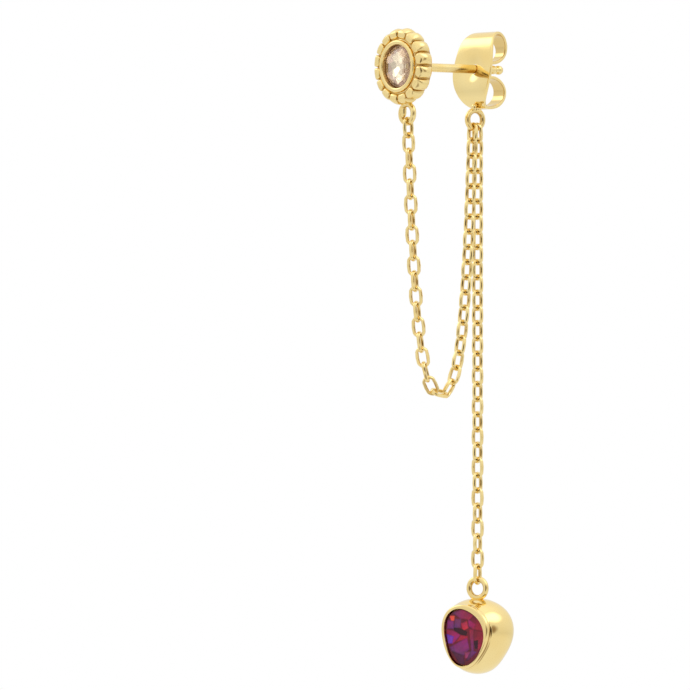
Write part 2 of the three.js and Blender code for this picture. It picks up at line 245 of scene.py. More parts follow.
# Pendant, in its own frame: the origin is in the middle of its ring, -Y is its front.
PENDANT_MIDDLE_Z = -4.16
PEBBLE = {"oval": 0.023, "oval_turn": 165.0, "lobes": 0.051, "lobe_turn": 60.8}
STONE = {"oval": 0.064, "oval_turn": -153.0, "lobes": 0.056, "lobe_turn": 45.5}
STONE_DOWN = 0.2
STONE_THICK = 0.9
STONE_SUNK = 0.2
STONE_EDGE = 0.06
STONE_GRAIN = 0.05
STONE_ROUND = 192
SEAT_ROUND = 96
# The cutter for the seat starts this far in front of the rim.
SEAT_CLEAR = 1.0
PENDANT_RIM = -2.08
PENDANT_EDGE = 0.05
# From the middle of the back to the rim: depth, and share of the pebble's radius.
PEBBLE_WALL = (
    {"y": 2.45, "share": 0.0},
    {"y": 2.43, "share": 0.2},
    {"y": 2.38, "share": 0.4},
    {"y": 2.2, "share": 0.66},
    {"y": 1.75, "share": 0.855},
    {"y": 1.1, "share": 0.965},
    {"y": 0.3, "share": 1.0},
    {"y": -0.5, "share": 0.974},
    {"y": -1.1, "share": 0.922},
    {"y": -1.45, "share": 0.878},
    {"y": -1.65, "share": 0.853},
    {"y": -1.86, "share": 0.843},
    {"y": -2.0, "share": 0.828},
    {"y": -2.07, "share": 0.8},
    {"y": -2.08, "share": 0.77},
)
PEBBLE_STEPS = 72
PEBBLE_ROUND = 128
# The line cut behind the rim: its depth, half width and place, and the angles (0 to the right, 90 up)
# between which it deepens and fades out again. Painted shade darkens it from its middle out to a share
# of its half width.
RIM_LINE = {"depth": 0.15, "half": 0.17, "y": -1.62, "deepen": (-110.0, -75.0), "fade": (2.0, 26.0)}
RIM_SHADE = {"most": 1.2, "fall": 2.0}
# How much further down the pebble's foot reaches, and from where, as shares of its radius.
PEBBLE_FOOT = {"drop": 0.05, "from": 0.55}

# The light tent. Its brightness from the floor (0) up to the top (1).
TENT = (
    {"rise": 0.0, "tone": 0.9},
    {"rise": 0.32, "tone": 0.9},
    {"rise": 0.42, "tone": 0.8},
    {"rise": 0.5, "tone": 0.85},
    {"rise": 0.7, "tone": 0.93},
    {"rise": 0.88, "tone": 1.0},
    {"rise": 1.0, "tone": 1.15},
)
# Panels and gaps in it: where each is (right, up, towards the camera), how wide it is out to its full
# and its outer edge in degrees, and how much light it adds or takes.
PANELS = (
    {"way": (-0.73, 0.56, -0.38), "core": 4.0, "reach": 19.0, "gain": 1.2},
    {"way": (0.62, 0.75, 0.22), "core": 7.0, "reach": 25.0, "gain": 0.9},
    {"way": (0.0, 0.0, 1.0), "core": 7.0, "reach": 25.0, "gain": -0.86},
    {"way": (0.74, 0.1, 0.66), "core": 2.0, "reach": 20.0, "gain": -0.55},
    {"way": (-0.1, -0.75, 0.65), "core": 6.0, "reach": 26.0, "gain": -0.45},
)
# Light from the tent is never dimmer than this, and takes on the room's tint as it dims.
ROOM = {"dark": 0.06, "plain": 0.8, "tint": (1.0, 0.66, 0.38)}
# Soft boxes: where each is (right, up, towards the camera), its size in metres and its power.
BOXES = (
    {"name": "Top box", "way": (-0.3, 1.0, -0.2), "size": 0.5, "power": 1.4},
    {"name": "Left box", "way": (-1.0, 0.5, 0.35), "size": 0.3, "power": 0.4},
    {"name": "Right box", "way": (0.8, 0.85, 0.3), "size": 0.25, "power": 0.6},
)
BOX_DISTANCE = 0.7
FLOOR_RADIUS = 0.5
WHITE = (1.0, 1.0, 1.0, 1.0)
BLACK = (0.0, 0.0, 0.0, 1.0)

# The platings: how fine their clouds and their rubbing marks are, their roughness where it is least
# and how much the marks add to it, and how deep the marks are in millimetres.
PLATINGS = {
    "Cast gold": {"clouds": 700.0, "marks": 5200.0, "polish": 0.13, "rubbed": 0.12, "relief": 0.002},
    "Polished gold": {"clouds": 260.0, "marks": 3000.0, "polish": 0.06, "rubbed": 0.07, "relief": 0.0012},
    "Chain gold": {"clouds": 900.0, "marks": 6000.0, "polish": 0.1, "rubbed": 0.1, "relief": 0.002},
}


# ---- Sizes and colours that a user would change ----


class StudSizes(PropertyGroup):
    bezel_radius: FloatProperty(
        name="Bezel radius",
        description="Outside radius of the bezel",
        default=2.375 * MM,
        unit="LENGTH",
    )
    bezel_wall: FloatProperty(
        name="Bezel wall", description="Thickness of the bezel", default=0.42 * MM, unit="LENGTH"
    )
    bead_count: IntProperty(name="Beads", description="Beads round the bezel", default=16)
    bead_reach: FloatProperty(
        name="Bead reach",
        description="From the middle to a bead's outside",
        default=3.32 * MM,
        unit="LENGTH",
    )
    bead_width: FloatProperty(
        name="Bead width", description="Width of one bead", default=1.22 * MM, unit="LENGTH"
    )
    post_radius: FloatProperty(
        name="Post radius", description="Radius of the ear post", default=0.4 * MM, unit="LENGTH"
    )
    ring_wire: FloatProperty(
        name="Ring wire",
        description="Thickness of the soldered rings",
        default=0.54 * MM,
        unit="LENGTH",
    )


class ClutchSizes(PropertyGroup):
    thickness: FloatProperty(
        name="Strip thickness",
        description="Thickness of the clutch strip",
        default=0.28 * MM,
        unit="LENGTH",
    )
    hole_radius: FloatProperty(
        name="Hole radius",
        description="Radius of the hole for the post",
        default=0.48 * MM,
        unit="LENGTH",
    )


class ChainSizes(PropertyGroup):
    width: FloatProperty(
        name="Link width", description="Outside width of a link", default=1.24 * MM, unit="LENGTH"
    )
    wire: FloatProperty(
        name="Wire",
        description="Thickness of a link's wire in its plane",
        default=0.315 * MM,
        unit="LENGTH",
    )
    across: FloatProperty(
        name="Wire across",
        description="Thickness of the wire across the link",
        default=0.36 * MM,
        unit="LENGTH",
    )
    pitch: FloatProperty(
        name="Pitch", description="From one link to the next", default=1.39 * MM, unit="LENGTH"
    )


class PendantSizes(PropertyGroup):
    pebble_radius: FloatProperty(
        name="Pebble radius", description="Mean radius of the setting", default=3.3 * MM, unit="LENGTH"
    )
    stone_radius: FloatProperty(
        name="Stone radius", description="Mean radius of the stone", default=2.4 * MM, unit="LENGTH"
    )
    stone_gap: FloatProperty(
        name="Stone gap", description="Gap round the stone", default=0.06 * MM, unit="LENGTH"
    )


class Finishes(PropertyGroup):
    gold: FloatVectorProperty(
        name="Gold", description="Polished plating", default=(0.955, 0.77, 0.36), subtype="COLOR"
    )
    gold_deep: FloatVectorProperty(
        name="Deep gold",
        description="Plating where it is thicker",
        default=(0.93, 0.7, 0.28),
        subtype="COLOR",
    )
    # Painted shade: the colour that hollows, creases and undersides are painted with where they would lie
    # in shade.
    gold_shade: FloatVectorProperty(
        name="Hollow gold",
        description="Plating in hollows, out of the polisher's reach",
        default=(0.56, 0.35, 0.11),
        subtype="COLOR",
    )
    crystal: FloatVectorProperty(
        name="Crystal", description="Tint of the crystal", default=(1.0, 0.95, 0.88), subtype="COLOR"
    )
    foil: FloatVectorProperty(
        name="Foil", description="Foil behind the crystal", default=(1.0, 0.9, 0.72), subtype="COLOR"
    )
    # Painted shade: the foil greys to this towards the girdle, where the bezel shades it.
    foil_shaded_rim: FloatVectorProperty(
        name="Foil at the rim",
        description="The foil seen through the crystal's edge",
        default=(0.64, 0.48, 0.43),
        subtype="COLOR",
    )


class StageSizes(PropertyGroup):
    azimuth: FloatProperty(
        name="Azimuth",
        description="Camera's turn from the front",
        default=math.radians(50),
        subtype="ANGLE",
    )
    distance: FloatProperty(
        name="Distance", description="From the camera to its target", default=0.55, unit="LENGTH"
    )
    lens: FloatProperty(name="Lens", description="Focal length in millimetres", default=315.6)
    aside: FloatProperty(
        name="Aside",
        description="Target's place to the right of the post",
        default=-8.97 * MM,
        unit="LENGTH",
    )
    height: FloatProperty(
        name="Height", description="Target's height over the post", default=-25.18 * MM, unit="LENGTH"
    )
    floor_drop: FloatProperty(
        name="Floor drop",
        description="From the pendant down to the floor",
        default=0.035,
        unit="LENGTH",
    )


# ---- Bench tools ----


def bench(size):
    """A size in metres as millimetres at the bench."""
    return size / MM


def clear_selection():
    """Nothing is selected, so that an operator acts on the new piece alone."""
    if bpy.context.mode != "OBJECT":
        bpy.ops.object.mode_set(mode="OBJECT")
    bpy.ops.object.select_all(action="DESELECT")


def named(name):
    """The new piece under its own name."""
    piece = bpy.context.active_object
    piece.name = name
    piece.data.name = name
    return piece


def take(*pieces):
    """These pieces alone are selected, and the first is active."""
    clear_selection()
    for piece in pieces:
        piece.select_set(True)
    bpy.context.view_layer.objects.active = pieces[0]
    return pieces[0]


def edit_whole(piece):
    """The piece in edit mode with everything selected."""
    take(piece)
    bpy.ops.object.mode_set(mode="EDIT")
    bpy.ops.mesh.select_mode(type="VERT")
    bpy.ops.mesh.select_all(action="SELECT")


def leave_edit():
    bpy.ops.object.mode_set(mode="OBJECT")


def pick(kind, test):
    """Selects the points, edges or faces of the piece in edit mode that pass a test."""
    modes = {"verts": "VERT", "edges": "EDGE", "faces": "FACE"}
    bpy.ops.mesh.select_mode(type=modes[kind])
    bpy.ops.mesh.select_all(action="DESELECT")
    data = bpy.context.active_object.data
    mesh = bmesh.from_edit_mesh(data)
    for item in getattr(mesh, kind):
        if test(item):
            item.select_set(True)
    bmesh.update_edit_mesh(data)


def finish_modifiers(piece):
    """Applies the piece's modifiers in order."""
    take(piece)
    for modifier in list(piece.modifiers):
        bpy.ops.object.modifier_apply(modifier=modifier.name)


def smoothed(piece, levels):
    """Subdivides a piece smoothly."""
    modifier = piece.modifiers.new("Smooth", "SUBSURF")
    modifier.levels = levels
    modifier.render_levels = levels
    finish_modifiers(piece)


def rounded_edges(piece, width, segments, angle):
    """Bevels the edges that are sharper than an angle in degrees."""
    modifier = piece.modifiers.new("Round", "BEVEL")
    modifier.width = width
    modifier.segments = segments
    modifier.limit_method = "ANGLE"
    modifier.angle_limit = math.radians(angle)
    modifier.harden_normals = False
    finish_modifiers(piece)


def shade(piece, angle):
    """Smooth shading, sharp where faces meet past an angle."""
    take(piece)
    bpy.ops.object.shade_smooth_by_angle(angle=math.radians(angle))


def closed_up(piece):
    """Merges doubled points and turns every face outwards."""
    edit_whole(piece)
    bpy.ops.mesh.remove_doubles(threshold=DOUBLED)
    bpy.ops.mesh.select_all(action="SELECT")
    bpy.ops.mesh.normals_make_consistent(inside=False)
    leave_edit()


def joined(name, pieces):
    """Several forms as one piece."""
    take(*pieces)
    if len(pieces) > 1:
        bpy.ops.object.join()
    return named(name)


def fused(piece, other, operation="UNION"):
    """Joins or cuts a piece with another form, which is used up."""
    modifier = piece.modifiers.new("Fuse", "BOOLEAN")
    modifier.operation = operation
    modifier.solver = "EXACT"
    modifier.object = other
    finish_modifiers(piece)
    bpy.data.objects.remove(other, do_unlink=True)
    return piece


def set_down(piece, place=None):
    """Puts a piece in its place, if one is given, and takes its place, turn and size into its mesh."""
    take(piece)
    if place is not None:
        piece.matrix_world = place
    bpy.ops.object.transform_apply(location=True, rotation=True, scale=True)
    return piece


def placed(piece, place=None):
    """Brings a piece from the bench to its real size and place, in its mesh."""
    return set_down(piece, (place or Matrix.Identity(4)) @ Matrix.Scale(MM, 4))


def settle(piece, body, nodes, materials):
    """Gives a piece its materials and its body, and hides the solids that it stands for."""
    piece.data.materials.clear()
    for material in materials:
        piece.data.materials.append(material)
    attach(piece, body)
    if nodes:
        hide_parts(*nodes)
    return piece


def starting_point(name, at):
    """A mesh of one point, to be drawn out."""
    clear_selection()
    bpy.ops.mesh.primitive_plane_add(size=1, location=(0, 0, 0))
    piece = named(name)
    edit_whole(piece)
    bpy.ops.mesh.merge(type="CENTER")
    bpy.ops.transform.translate(value=at)
    return piece


def turned(name, rows, steps):
    """A form turned about the Y axis, drawn from rows of radius and place on the axis."""
    piece = starting_point(name, (rows[0][0], rows[0][1], 0))
    for (r, y), (next_r, next_y) in zip(rows, rows[1:]):
        bpy.ops.mesh.extrude_vertices_move(TRANSFORM_OT_translate={"value": (next_r - r, next_y - y, 0)})
    bpy.ops.mesh.select_all(action="SELECT")
    bpy.ops.mesh.spin(steps=steps, angle=FULL_TURN, center=(0, 0, 0), axis=(0, 1, 0))
    leave_edit()
    closed_up(piece)
    return piece


def copied(piece):
    """A copy of a piece with its own mesh."""
    copy = piece.copy()
    copy.data = piece.data.copy()
    bpy.context.scene.collection.objects.link(copy)
    return copy


def catmull_rom(knots, steps):
    """Places on a smooth line through a row of knots."""
    points = [2 * knots[0] - knots[1], *knots, 2 * knots[-1] - knots[-2]]
    places = []
    for step in range(steps + 1):
        along = step * (len(knots) - 1) / steps
        first = min(int(along), len(knots) - 2)
        share = along - first
        a, b, c, d = points[first : first + 4]
        gaps = [max((q - p).length ** 0.5, 1e-6) for p, q in ((a, b), (b, c), (c, d))]
        start = ((b - a) / gaps[0] - (c - a) / (gaps[0] + gaps[1]) + (c - b) / gaps[1]) * gaps[1]
        end = ((c - b) / gaps[1] - (d - b) / (gaps[1] + gaps[2]) + (d - c) / gaps[2]) * gaps[1]
        square, cube = share**2, share**3
        place = b * (2 * cube - 3 * square + 1) + start * (cube - 2 * square + share)
        places.append(place + c * (3 * square - 2 * cube) + end * (cube - square))
    return places


def eased(value, start, end):
    """Runs smoothly from 0 at the start to 1 at the end."""
    share = max(0.0, min(1.0, (value - start) / (end - start)))
    return share * share * (3 - 2 * share)


def pressed(place, shape):
    """How much a pebble outline stands out from its circle at a place."""
    angle = math.atan2(place.z, place.x)
    oval = shape["oval"] * math.cos(2 * angle - math.radians(shape["oval_turn"]))
    lobes = shape["lobes"] * math.cos(3 * angle - math.radians(shape["lobe_turn"]))
    return 1 + oval + lobes


def paint_shade(piece, depth_at):
    """Marks how much painted shade each point takes, from 0 in the open to 1 fully shaded."""
    marks = piece.data.attributes.get("hollow") or piece.data.attributes.new("hollow", "FLOAT", "POINT")
    for point, mark in zip(piece.data.vertices, marks.data):
        mark.value = max(0.0, min(1.0, depth_at(point)))


def inwards(point, half_width, half_height):
    """How far inside an oval a point is, as a share of the oval's size."""
    return 1 - math.hypot(point.co.x / half_width, point.co.y / half_height)


def press(piece, shape):
    """Presses a form that was turned about Y into a pebble outline."""
    for point in piece.data.vertices:
        grow = pressed(point.co, shape)
        point.co.x *= grow
        point.co.z *= grow


# ---- Materials ----


def new_tree(name):
    material = bpy.data.materials.new(name)
    material.use_nodes = True
    tree = material.node_tree
    return material, tree, tree.nodes["Principled BSDF"]


def feed(tree, node, feeds):
    """Feeds a node's inputs from other nodes' sockets, or sets them to values."""
    for key, source in feeds.items():
        if isinstance(source, bpy.types.NodeSocket):
            tree.links.new(source, node.inputs[key])
        else:
            node.inputs[key].default_value = source


def add_node(tree, kind, feeds=None, **settings):
    """A node with its settings, and what its inputs are fed with."""
    node = tree.nodes.new(kind)
    for key, value in settings.items():
        setattr(node, key, value)
    feed(tree, node, feeds or {})
    return node


def gold_finish_group():
    """Polished plating: cloudy thickness, painted shade in hollows and creases, and fine rubbing marks."""
    name = "Polished plating"
    if name in bpy.data.node_groups:
        return bpy.data.node_groups[name]
    tree = bpy.data.node_groups.new(name, "ShaderNodeTree")
    sockets = {
        "INPUT": {
            "Color": ("Gold", "Deep gold", "Hollow gold"),
            "Float": ("Hollow", "Cloud scale", "Mark scale", "Polish", "Marks"),
        },
        "OUTPUT": {"Color": ("Color",), "Float": ("Roughness", "Height")},
    }
    for side, kinds in sockets.items():
        for kind, names in kinds.items():
            for socket in names:
                tree.interface.new_socket(name=socket, in_out=side, socket_type=f"NodeSocket{kind}")
    group = add_node(tree, "NodeGroupInput").outputs
    places = add_node(tree, "ShaderNodeTexCoord").outputs["Object"]
    clouds = add_node(
        tree, "ShaderNodeTexNoise", {"Vector": places, "Scale": group["Cloud scale"], "Detail": 3.0}
    )
    cloudy = add_node(
        tree, "ShaderNodeMapRange", {"Value": clouds.outputs["Fac"], "From Min": 0.35, "From Max": 0.75}
    )
    tone = add_node(
        tree,
        "ShaderNodeMix",
        {"Factor": cloudy.outputs["Result"], "A": group["Gold"], "B": group["Deep gold"]},
        data_type="RGBA",
    )
    # Painted shade: the gold turns towards the shaded colour where a point is marked.
    sunk = add_node(
        tree,
        "ShaderNodeMix",
        {"Factor": group["Hollow"], "A": tone.outputs["Result"], "B": group["Hollow gold"]},
        data_type="RGBA",
    )
    marks = add_node(
        tree,
        "ShaderNodeTexNoise",
        {"Vector": places, "Scale": group["Mark scale"], "Detail": 4.0, "Roughness": 0.65},
    )
    rubbed = add_node(
        tree,
        "ShaderNodeMath",
        {0: marks.outputs["Fac"], 1: group["Marks"], 2: group["Polish"]},
        operation="MULTIPLY_ADD",
    )
    finish = {
        "Color": sunk.outputs["Result"],
        "Roughness": rubbed.outputs["Value"],
        "Height": marks.outputs["Fac"],
    }
    add_node(tree, "NodeGroupOutput", finish)
    return tree


def plating(name):
    """One of the gold platings."""
    if name in bpy.data.materials:
        return bpy.data.materials[name]
    finishes = bpy.context.scene.earring_finishes
    kind = PLATINGS[name]
    material, tree, shader = new_tree(name)
    # Each piece's marks of painted shade.
    hollow = add_node(tree, "ShaderNodeAttribute", attribute_name="hollow")
    feeds = {
        "Gold": (*finishes.gold, 1.0),
        "Deep gold": (*finishes.gold_deep, 1.0),
        "Hollow gold": (*finishes.gold_shade, 1.0),
        "Hollow": hollow.outputs["Fac"],
        "Cloud scale": kind["clouds"],
        "Mark scale": kind["marks"],
        "Polish": kind["polish"],
        "Marks": kind["rubbed"],
    }
    finish = add_node(tree, "ShaderNodeGroup", feeds, node_tree=gold_finish_group()).outputs
    feeds = {"Height": finish["Height"], "Strength": 1.0, "Distance": kind["relief"] * MM}
    bump = add_node(tree, "ShaderNodeBump", feeds)
    feeds = {
        "Base Color": finish["Color"],
        "Roughness": finish["Roughness"],
        "Normal": bump.outputs["Normal"],
        "Metallic": 1.0,
    }
    feed(tree, shader, feeds)
    return material


def crystal_glass():
    """Clear champagne glass."""
    material, tree, shader = new_tree("Crystal glass")
    tint = (*bpy.context.scene.earring_finishes.crystal, 1.0)
    feed(tree, shader, {"Base Color": tint, "Roughness": 0.0, "IOR": 1.46, "Transmission Weight": 1.0})
    return material


def crystal_foil():
    """The foil on the crystal's back facets, a little uneven.

    Where a ray has bounced about inside the crystal for long, the foil gives off a low painted glow, so
    that it is not black.
    """
    material, tree, shader = new_tree("Crystal foil")
    facet = add_node(tree, "ShaderNodeAttribute", attribute_name="foil_tone")
    places = add_node(tree, "ShaderNodeTexCoord").outputs["Object"]
    clouds = add_node(tree, "ShaderNodeTexNoise", {"Vector": places, "Scale": 1500.0})
    dimmed = add_node(
        tree,
        "ShaderNodeMix",
        {"Factor": 0.12, "A": facet.outputs["Color"], "B": clouds.outputs["Fac"]},
        data_type="RGBA",
        blend_type="MULTIPLY",
    ).outputs["Result"]
    # Painted glow: the foil lights up once a ray has bounced about inside the crystal.
    path = add_node(tree, "ShaderNodeLightPath").outputs["Glossy Depth"]
    deep = add_node(
        tree, "ShaderNodeMath", {0: path, 1: DEEP_LIGHT["bounces"]}, operation="GREATER_THAN"
    )
    glow = add_node(
        tree, "ShaderNodeMix", {"Factor": deep.outputs["Value"], "A": BLACK, "B": dimmed}, data_type="RGBA"
    )
    feeds = {
        "Base Color": dimmed,
        "Metallic": 1.0,
        "Roughness": 0.14,
        "Emission Color": glow.outputs["Result"],
        "Emission Strength": DEEP_LIGHT["glow"],
    }
    feed(tree, shader, feeds)
    return material


SHARD_TONES = {
    "ember": (0.74, 0.07, 0.045),
    "garnet": (0.52, 0.03, 0.06),
    "crimson": (0.3, 0.013, 0.038),
    "magenta": (0.26, 0.013, 0.127),
    "purple": (0.14, 0.026, 0.114),
    "violet": (0.156, 0.032, 0.352),
    "maroon": (0.114, 0.0097, 0.021),
    "night": (0.032, 0.007, 0.013),
    "rose": (0.3, 0.045, 0.102),
    "plum": (0.08, 0.013, 0.045),
}

# The shards in the order that they are laid, each over the ones before: its tone at its first corner
# and at the far one, and its corners, across and up in shares of the stone's radius.
SHARDS = (
    ("purple", "crimson", ((-0.6, 0.89), (-0.11, 1.05), (0.46, 0.83), (0.3, 0.64), (-0.19, 0.67))),
    ("maroon", "crimson", ((0.46, 0.83), (0.82, 0.61), (1.05, 0.22), (0.46, 0.28), (0.21, 0.61))),
    ("maroon", "crimson", ((0.46, 0.28), (1.05, 0.22), (1.05, -0.22), (0.7, -0.5), (0.46, -0.17))),
    ("night", "night", ((0.46, -0.14), (0.68, -0.11), (0.66, -0.44), (0.52, -0.44))),
    ("crimson", "purple", ((0.23, 0.31), (0.46, 0.28), (0.46, -0.61), (0.34, -0.5))),
    ("crimson", "garnet", ((-0.19, 0.5), (0.13, 0.61), (0.21, 0.33), (-0.07, 0.22))),
    ("magenta", "crimson", ((0.17, 0.67), (0.58, 0.5), (0.46, 0.28), (0.21, 0.39))),
    ("purple", "purple", ((-0.47, 0.67), (-0.15, 0.67), (-0.19, 0.33), (-0.51, 0.31))),
    ("ember", "ember", ((-0.75, 0.78), (-0.47, 0.78), (-0.51, 0.58), (-0.66, 0.58))),
    ("magenta", "purple", ((-0.84, 0.61), (-0.51, 0.58), (-0.51, 0.28), (-0.86, 0.28))),
    (
        "night",
        "night",
        ((-0.53, 0.33), (-0.19, 0.31), (0.15, 0.19), (0.09, 0.03), (-0.19, 0.08), (-0.51, 0.22)),
    ),
    (
        "crimson",
        "magenta",
        ((-0.88, 0.25), (-0.55, 0.22), (-0.19, 0.06), (-0.47, -0.22), (-0.6, -0.31), (-0.9, -0.06)),
    ),
    ("violet", "violet", ((-0.9, 0.08), (-0.51, 0.0), (-0.6, -0.28), (-0.8, -0.28))),
    ("crimson", "crimson", ((-0.19, 0.06), (0.17, 0.03), (0.17, -0.11), (-0.07, -0.14), (-0.43, -0.22))),
    ("magenta", "purple", ((0.13, -0.03), (0.26, -0.47), (-0.03, -0.72), (-0.64, -0.56), (-0.74, -0.42))),
    ("plum", "plum", ((-0.64, -0.56), (-0.03, -0.72), (0.01, -1.05), (-0.23, -1.05))),
    ("rose", "magenta", ((0.01, -0.58), (0.34, -0.56), (0.38, -0.78), (0.05, -0.83))),
    ("purple", "plum", ((0.34, -0.5), (0.62, -0.56), (0.21, -0.89), (0.01, -0.97))),
)
SHARD_BED = "maroon"

# How far a shard's edge is darkened, as a share of the stone's radius, and how dark it is there.
SHARD_SEAM = {"reach": 0.05, "tone": 0.6}


def shell_mosaic():
    """Dyed shell under a clear gloss: each shard has its tone, with fine bands across it."""
    material, tree, shader = new_tree("Dyed shell mosaic")
    shard = add_node(tree, "ShaderNodeAttribute", attribute_name="shard_tone")
    places = add_node(tree, "ShaderNodeTexCoord").outputs["Object"]
    bands = add_node(
        tree,
        "ShaderNodeTexNoise",
        {"Vector": places, "Scale": 900.0, "Detail": 3.0, "Distortion": 1.2},
    )
    shimmer = add_node(
        tree,
        "ShaderNodeMix",
        {"Factor": 0.6, "A": shard.outputs["Color"], "B": bands.outputs["Color"]},
        data_type="RGBA",
        blend_type="OVERLAY",
    )
    feeds = {
        "Base Color": shimmer.outputs["Result"],
        "Roughness": 0.45,
        "Specular IOR Level": 0.1,
        "Coat Weight": 0.3,
        "Coat Roughness": 0.03,
    }
    feed(tree, shader, feeds)
    return material


# ---- Rings and solder ----


def ring_piece(name, ring, wire):
    """A wire ring: its outside is a little flat from rolling, and its ends meet under the solder."""
    middle = (ring["outer"] - wire) / 2
    clear_selection()
    bpy.ops.mesh.primitive_torus_add(
        major_segments=56, minor_segments=16, major_radius=middle, minor_radius=wire / 2
    )
    piece = named(name)
    edit_whole(piece)
    pick("verts", lambda point: point.co.xy.length > middle + wire * RING_ROLLED["from"])
    rolled = RING_ROLLED["size"]
    bpy.ops.transform.resize(value=(rolled, rolled, 1), center_override=(0, 0, 0))
    leave_edit()
    # Painted shade on the inside of the ring.
    paint_shade(piece, lambda point: (middle - point.co.xy.length) / wire * RING_SHADE)
    upright = Matrix.Rotation(math.radians(ring["turn"]), 4, "Z") @ Matrix.Rotation(QUARTER_TURN, 4, "X")
    return set_down(piece, Matrix.Translation((0, ring["y"], ring["z"])) @ upright)


def solder_piece(name):
    """A drop of solder, flowed out round the foot of a ring."""
    at, size = SOLDER[name]["at"], SOLDER[name]["size"]
    clear_selection()
    bpy.ops.mesh.primitive_uv_sphere_add(segments=24, ring_count=14, radius=1.0, location=at, scale=size)
    piece = set_down(named(name))
    edit_whole(piece)
    pick("verts", lambda point: point.co.z > at[2] + size[2] * SOLDER_SPREAD["from"])
    grow = SOLDER_SPREAD["grow"]
    bpy.ops.transform.resize(value=(grow, grow, 1), center_override=at)
    leave_edit()
    return piece


# ---- Stud ----


class EARRING_OT_stud_setting(Operator):
    """Models the stud: cup, bezel, beads, post and soldered ring"""

    bl_idname = "earring.stud_setting"
    bl_label = "Stud Setting"

    def execute(self, context):
        sizes = context.scene.earring_stud
        outer = bench(sizes.bezel_radius)
        inner = outer - bench(sizes.bezel_wall)
        forms = [
            self.cup(outer, inner),
            *self.beads(sizes),
            self.post(bench(sizes.post_radius)),
            ring_piece("stud_ring", STUD_RING, bench(sizes.ring_wire)),
            solder_piece("stud_solder"),
            solder_piece("stud_solder_flow"),
        ]
        piece = joined("stud_setting_metal", forms)
        placed(piece)
        shade(piece, angle=40.0)
        settle(piece, STUD_BODY, ["stud_setting"], [plating("Cast gold")])
        return {"FINISHED"}

    def cup(self, outer, inner):
        """The back plate, the channel that carries the beads and the domed bezel, turned in one."""
        half = (outer - inner) / 2
        dome = []
        for step in range(BEZEL_DOME["steps"] + 1):
            angle = math.pi * step / BEZEL_DOME["steps"]
            rise = BEZEL_DOME["height"] * math.sin(angle) ** BEZEL_DOME["fullness"]
            dome.append((inner + half - half * math.cos(angle), BEZEL_FRONT + BEZEL_DOME["height"] - rise))
        rows = (
            (0.0, PLATE_FRONT),
            (inner, PLATE_FRONT),
            *dome,
            *((outer + row["out"], row["y"]) for row in CUP_SIDE),
            (outer, STUD_BACK),
            (0.0, STUD_BACK),
        )
        cup = turned("stud_cup", rows, CUP_ROUND)
        # Painted shade in the channel between the bezel and the beads.
        shaded = outer + CHANNEL_SHADE
        paint_shade(cup, lambda point: 1.0 if math.hypot(point.co.x, point.co.z) > shaded else 0.0)
        return cup

    def beads(self, sizes):
        """One pillow of a bead, shaped from a block and copied round the bezel."""
        width = bench(sizes.bead_width)
        reach = bench(sizes.bead_reach)
        low = BEAD_BLOCK["low"]
        depth = BEAD_BACK - BEAD_FRONT
        middle = (BEAD_BACK + BEAD_FRONT) / 2
        clear_selection()
        bpy.ops.mesh.primitive_cube_add(
            size=1, location=(0, middle, (reach + low) / 2), scale=(width, depth, reach - low)
        )
        first = set_down(named("stud_bead"))
        edit_whole(first)
        pick("verts", lambda point: point.co.z < (low + reach) / 2)
        bpy.ops.transform.resize(value=(BEAD_BLOCK["foot"], 1, 1), center_override=(0, middle, low))
        bpy.ops.mesh.select_all(action="SELECT")
        bpy.ops.mesh.bevel(offset=BEAD_BLOCK["edge"], segments=3, profile=0.5, affect="EDGES")
        pick("faces", self.bead_front)
        bpy.ops.mesh.inset(thickness=BEAD_BLOCK["front"], depth=0)
        bpy.ops.mesh.inset(thickness=BEAD_BLOCK["front"], depth=-BEAD_BLOCK["dish"])
        leave_edit()
        smoothed(first, levels=2)
        self.pillow(first, width, depth, middle)
        beads = []
        for number in range(sizes.bead_count):
            bead = copied(first)
            bead.name = f"stud_bead_{number + 1}"
            angle = FULL_TURN * (number + 0.5) / sizes.bead_count
            set_down(bead, Matrix.Rotation(angle, 4, "Y"))
            beads.append(bead)
        bpy.data.objects.remove(first, do_unlink=True)
        return beads

    def bead_front(self, face):
        """Whether a face is the front of a bead's block, and not a cut edge."""
        return face.normal.y < BEAD_FACE["facing"] and face.calc_area() > BEAD_FACE["area"]

    def pillow(self, bead, width, depth, middle):
        """Puffs up a bead's outside, draws its ends in and paints shade along its sides, in the creases
        between the beads.
        """
        for point in bead.data.vertices:
            across = point.co.x / (width / 2)
            along = (point.co.y - middle) / (depth / 2)
            lift = (1 - across**2) * (1 - along**2) - BEAD_PUFF["settle"]
            puff = BEAD_PUFF["height"] * eased(point.co.z, BEAD_RING, BEAD_RING + BEAD_PUFF["over"])
            point.co.z += puff * lift
            if along > 0:
                drawn = BEAD_PUFF["draw"] * along**2
                point.co.x *= 1 - drawn
                point.co.z -= drawn * max(0.0, point.co.z - BEAD_RING)
        # Painted shade along the bead's sides, where it meets its neighbours.
        paint_shade(bead, lambda point: (abs(point.co.x) / width * 2 - BEAD_CREASE) / (1 - BEAD_CREASE))

    def post(self, radius):
        """The ear post, with a small collar of solder at its foot and a rounded tip."""
        collar, edge = POST_COLLAR["thick"], POST_COLLAR["edge"]
        sunk = PLATE_FRONT + POST_COLLAR["sunk"]
        rows = (
            (0.0, sunk),
            (radius + collar, sunk),
            (radius + collar, STUD_BACK),
            (radius + edge, STUD_BACK + edge),
            (radius, STUD_BACK + collar),
            *((radius * row["share"], POST_END - row["back"]) for row in POST_TIP),
        )
        post = turned("ear_post", rows, POST_ROUND)
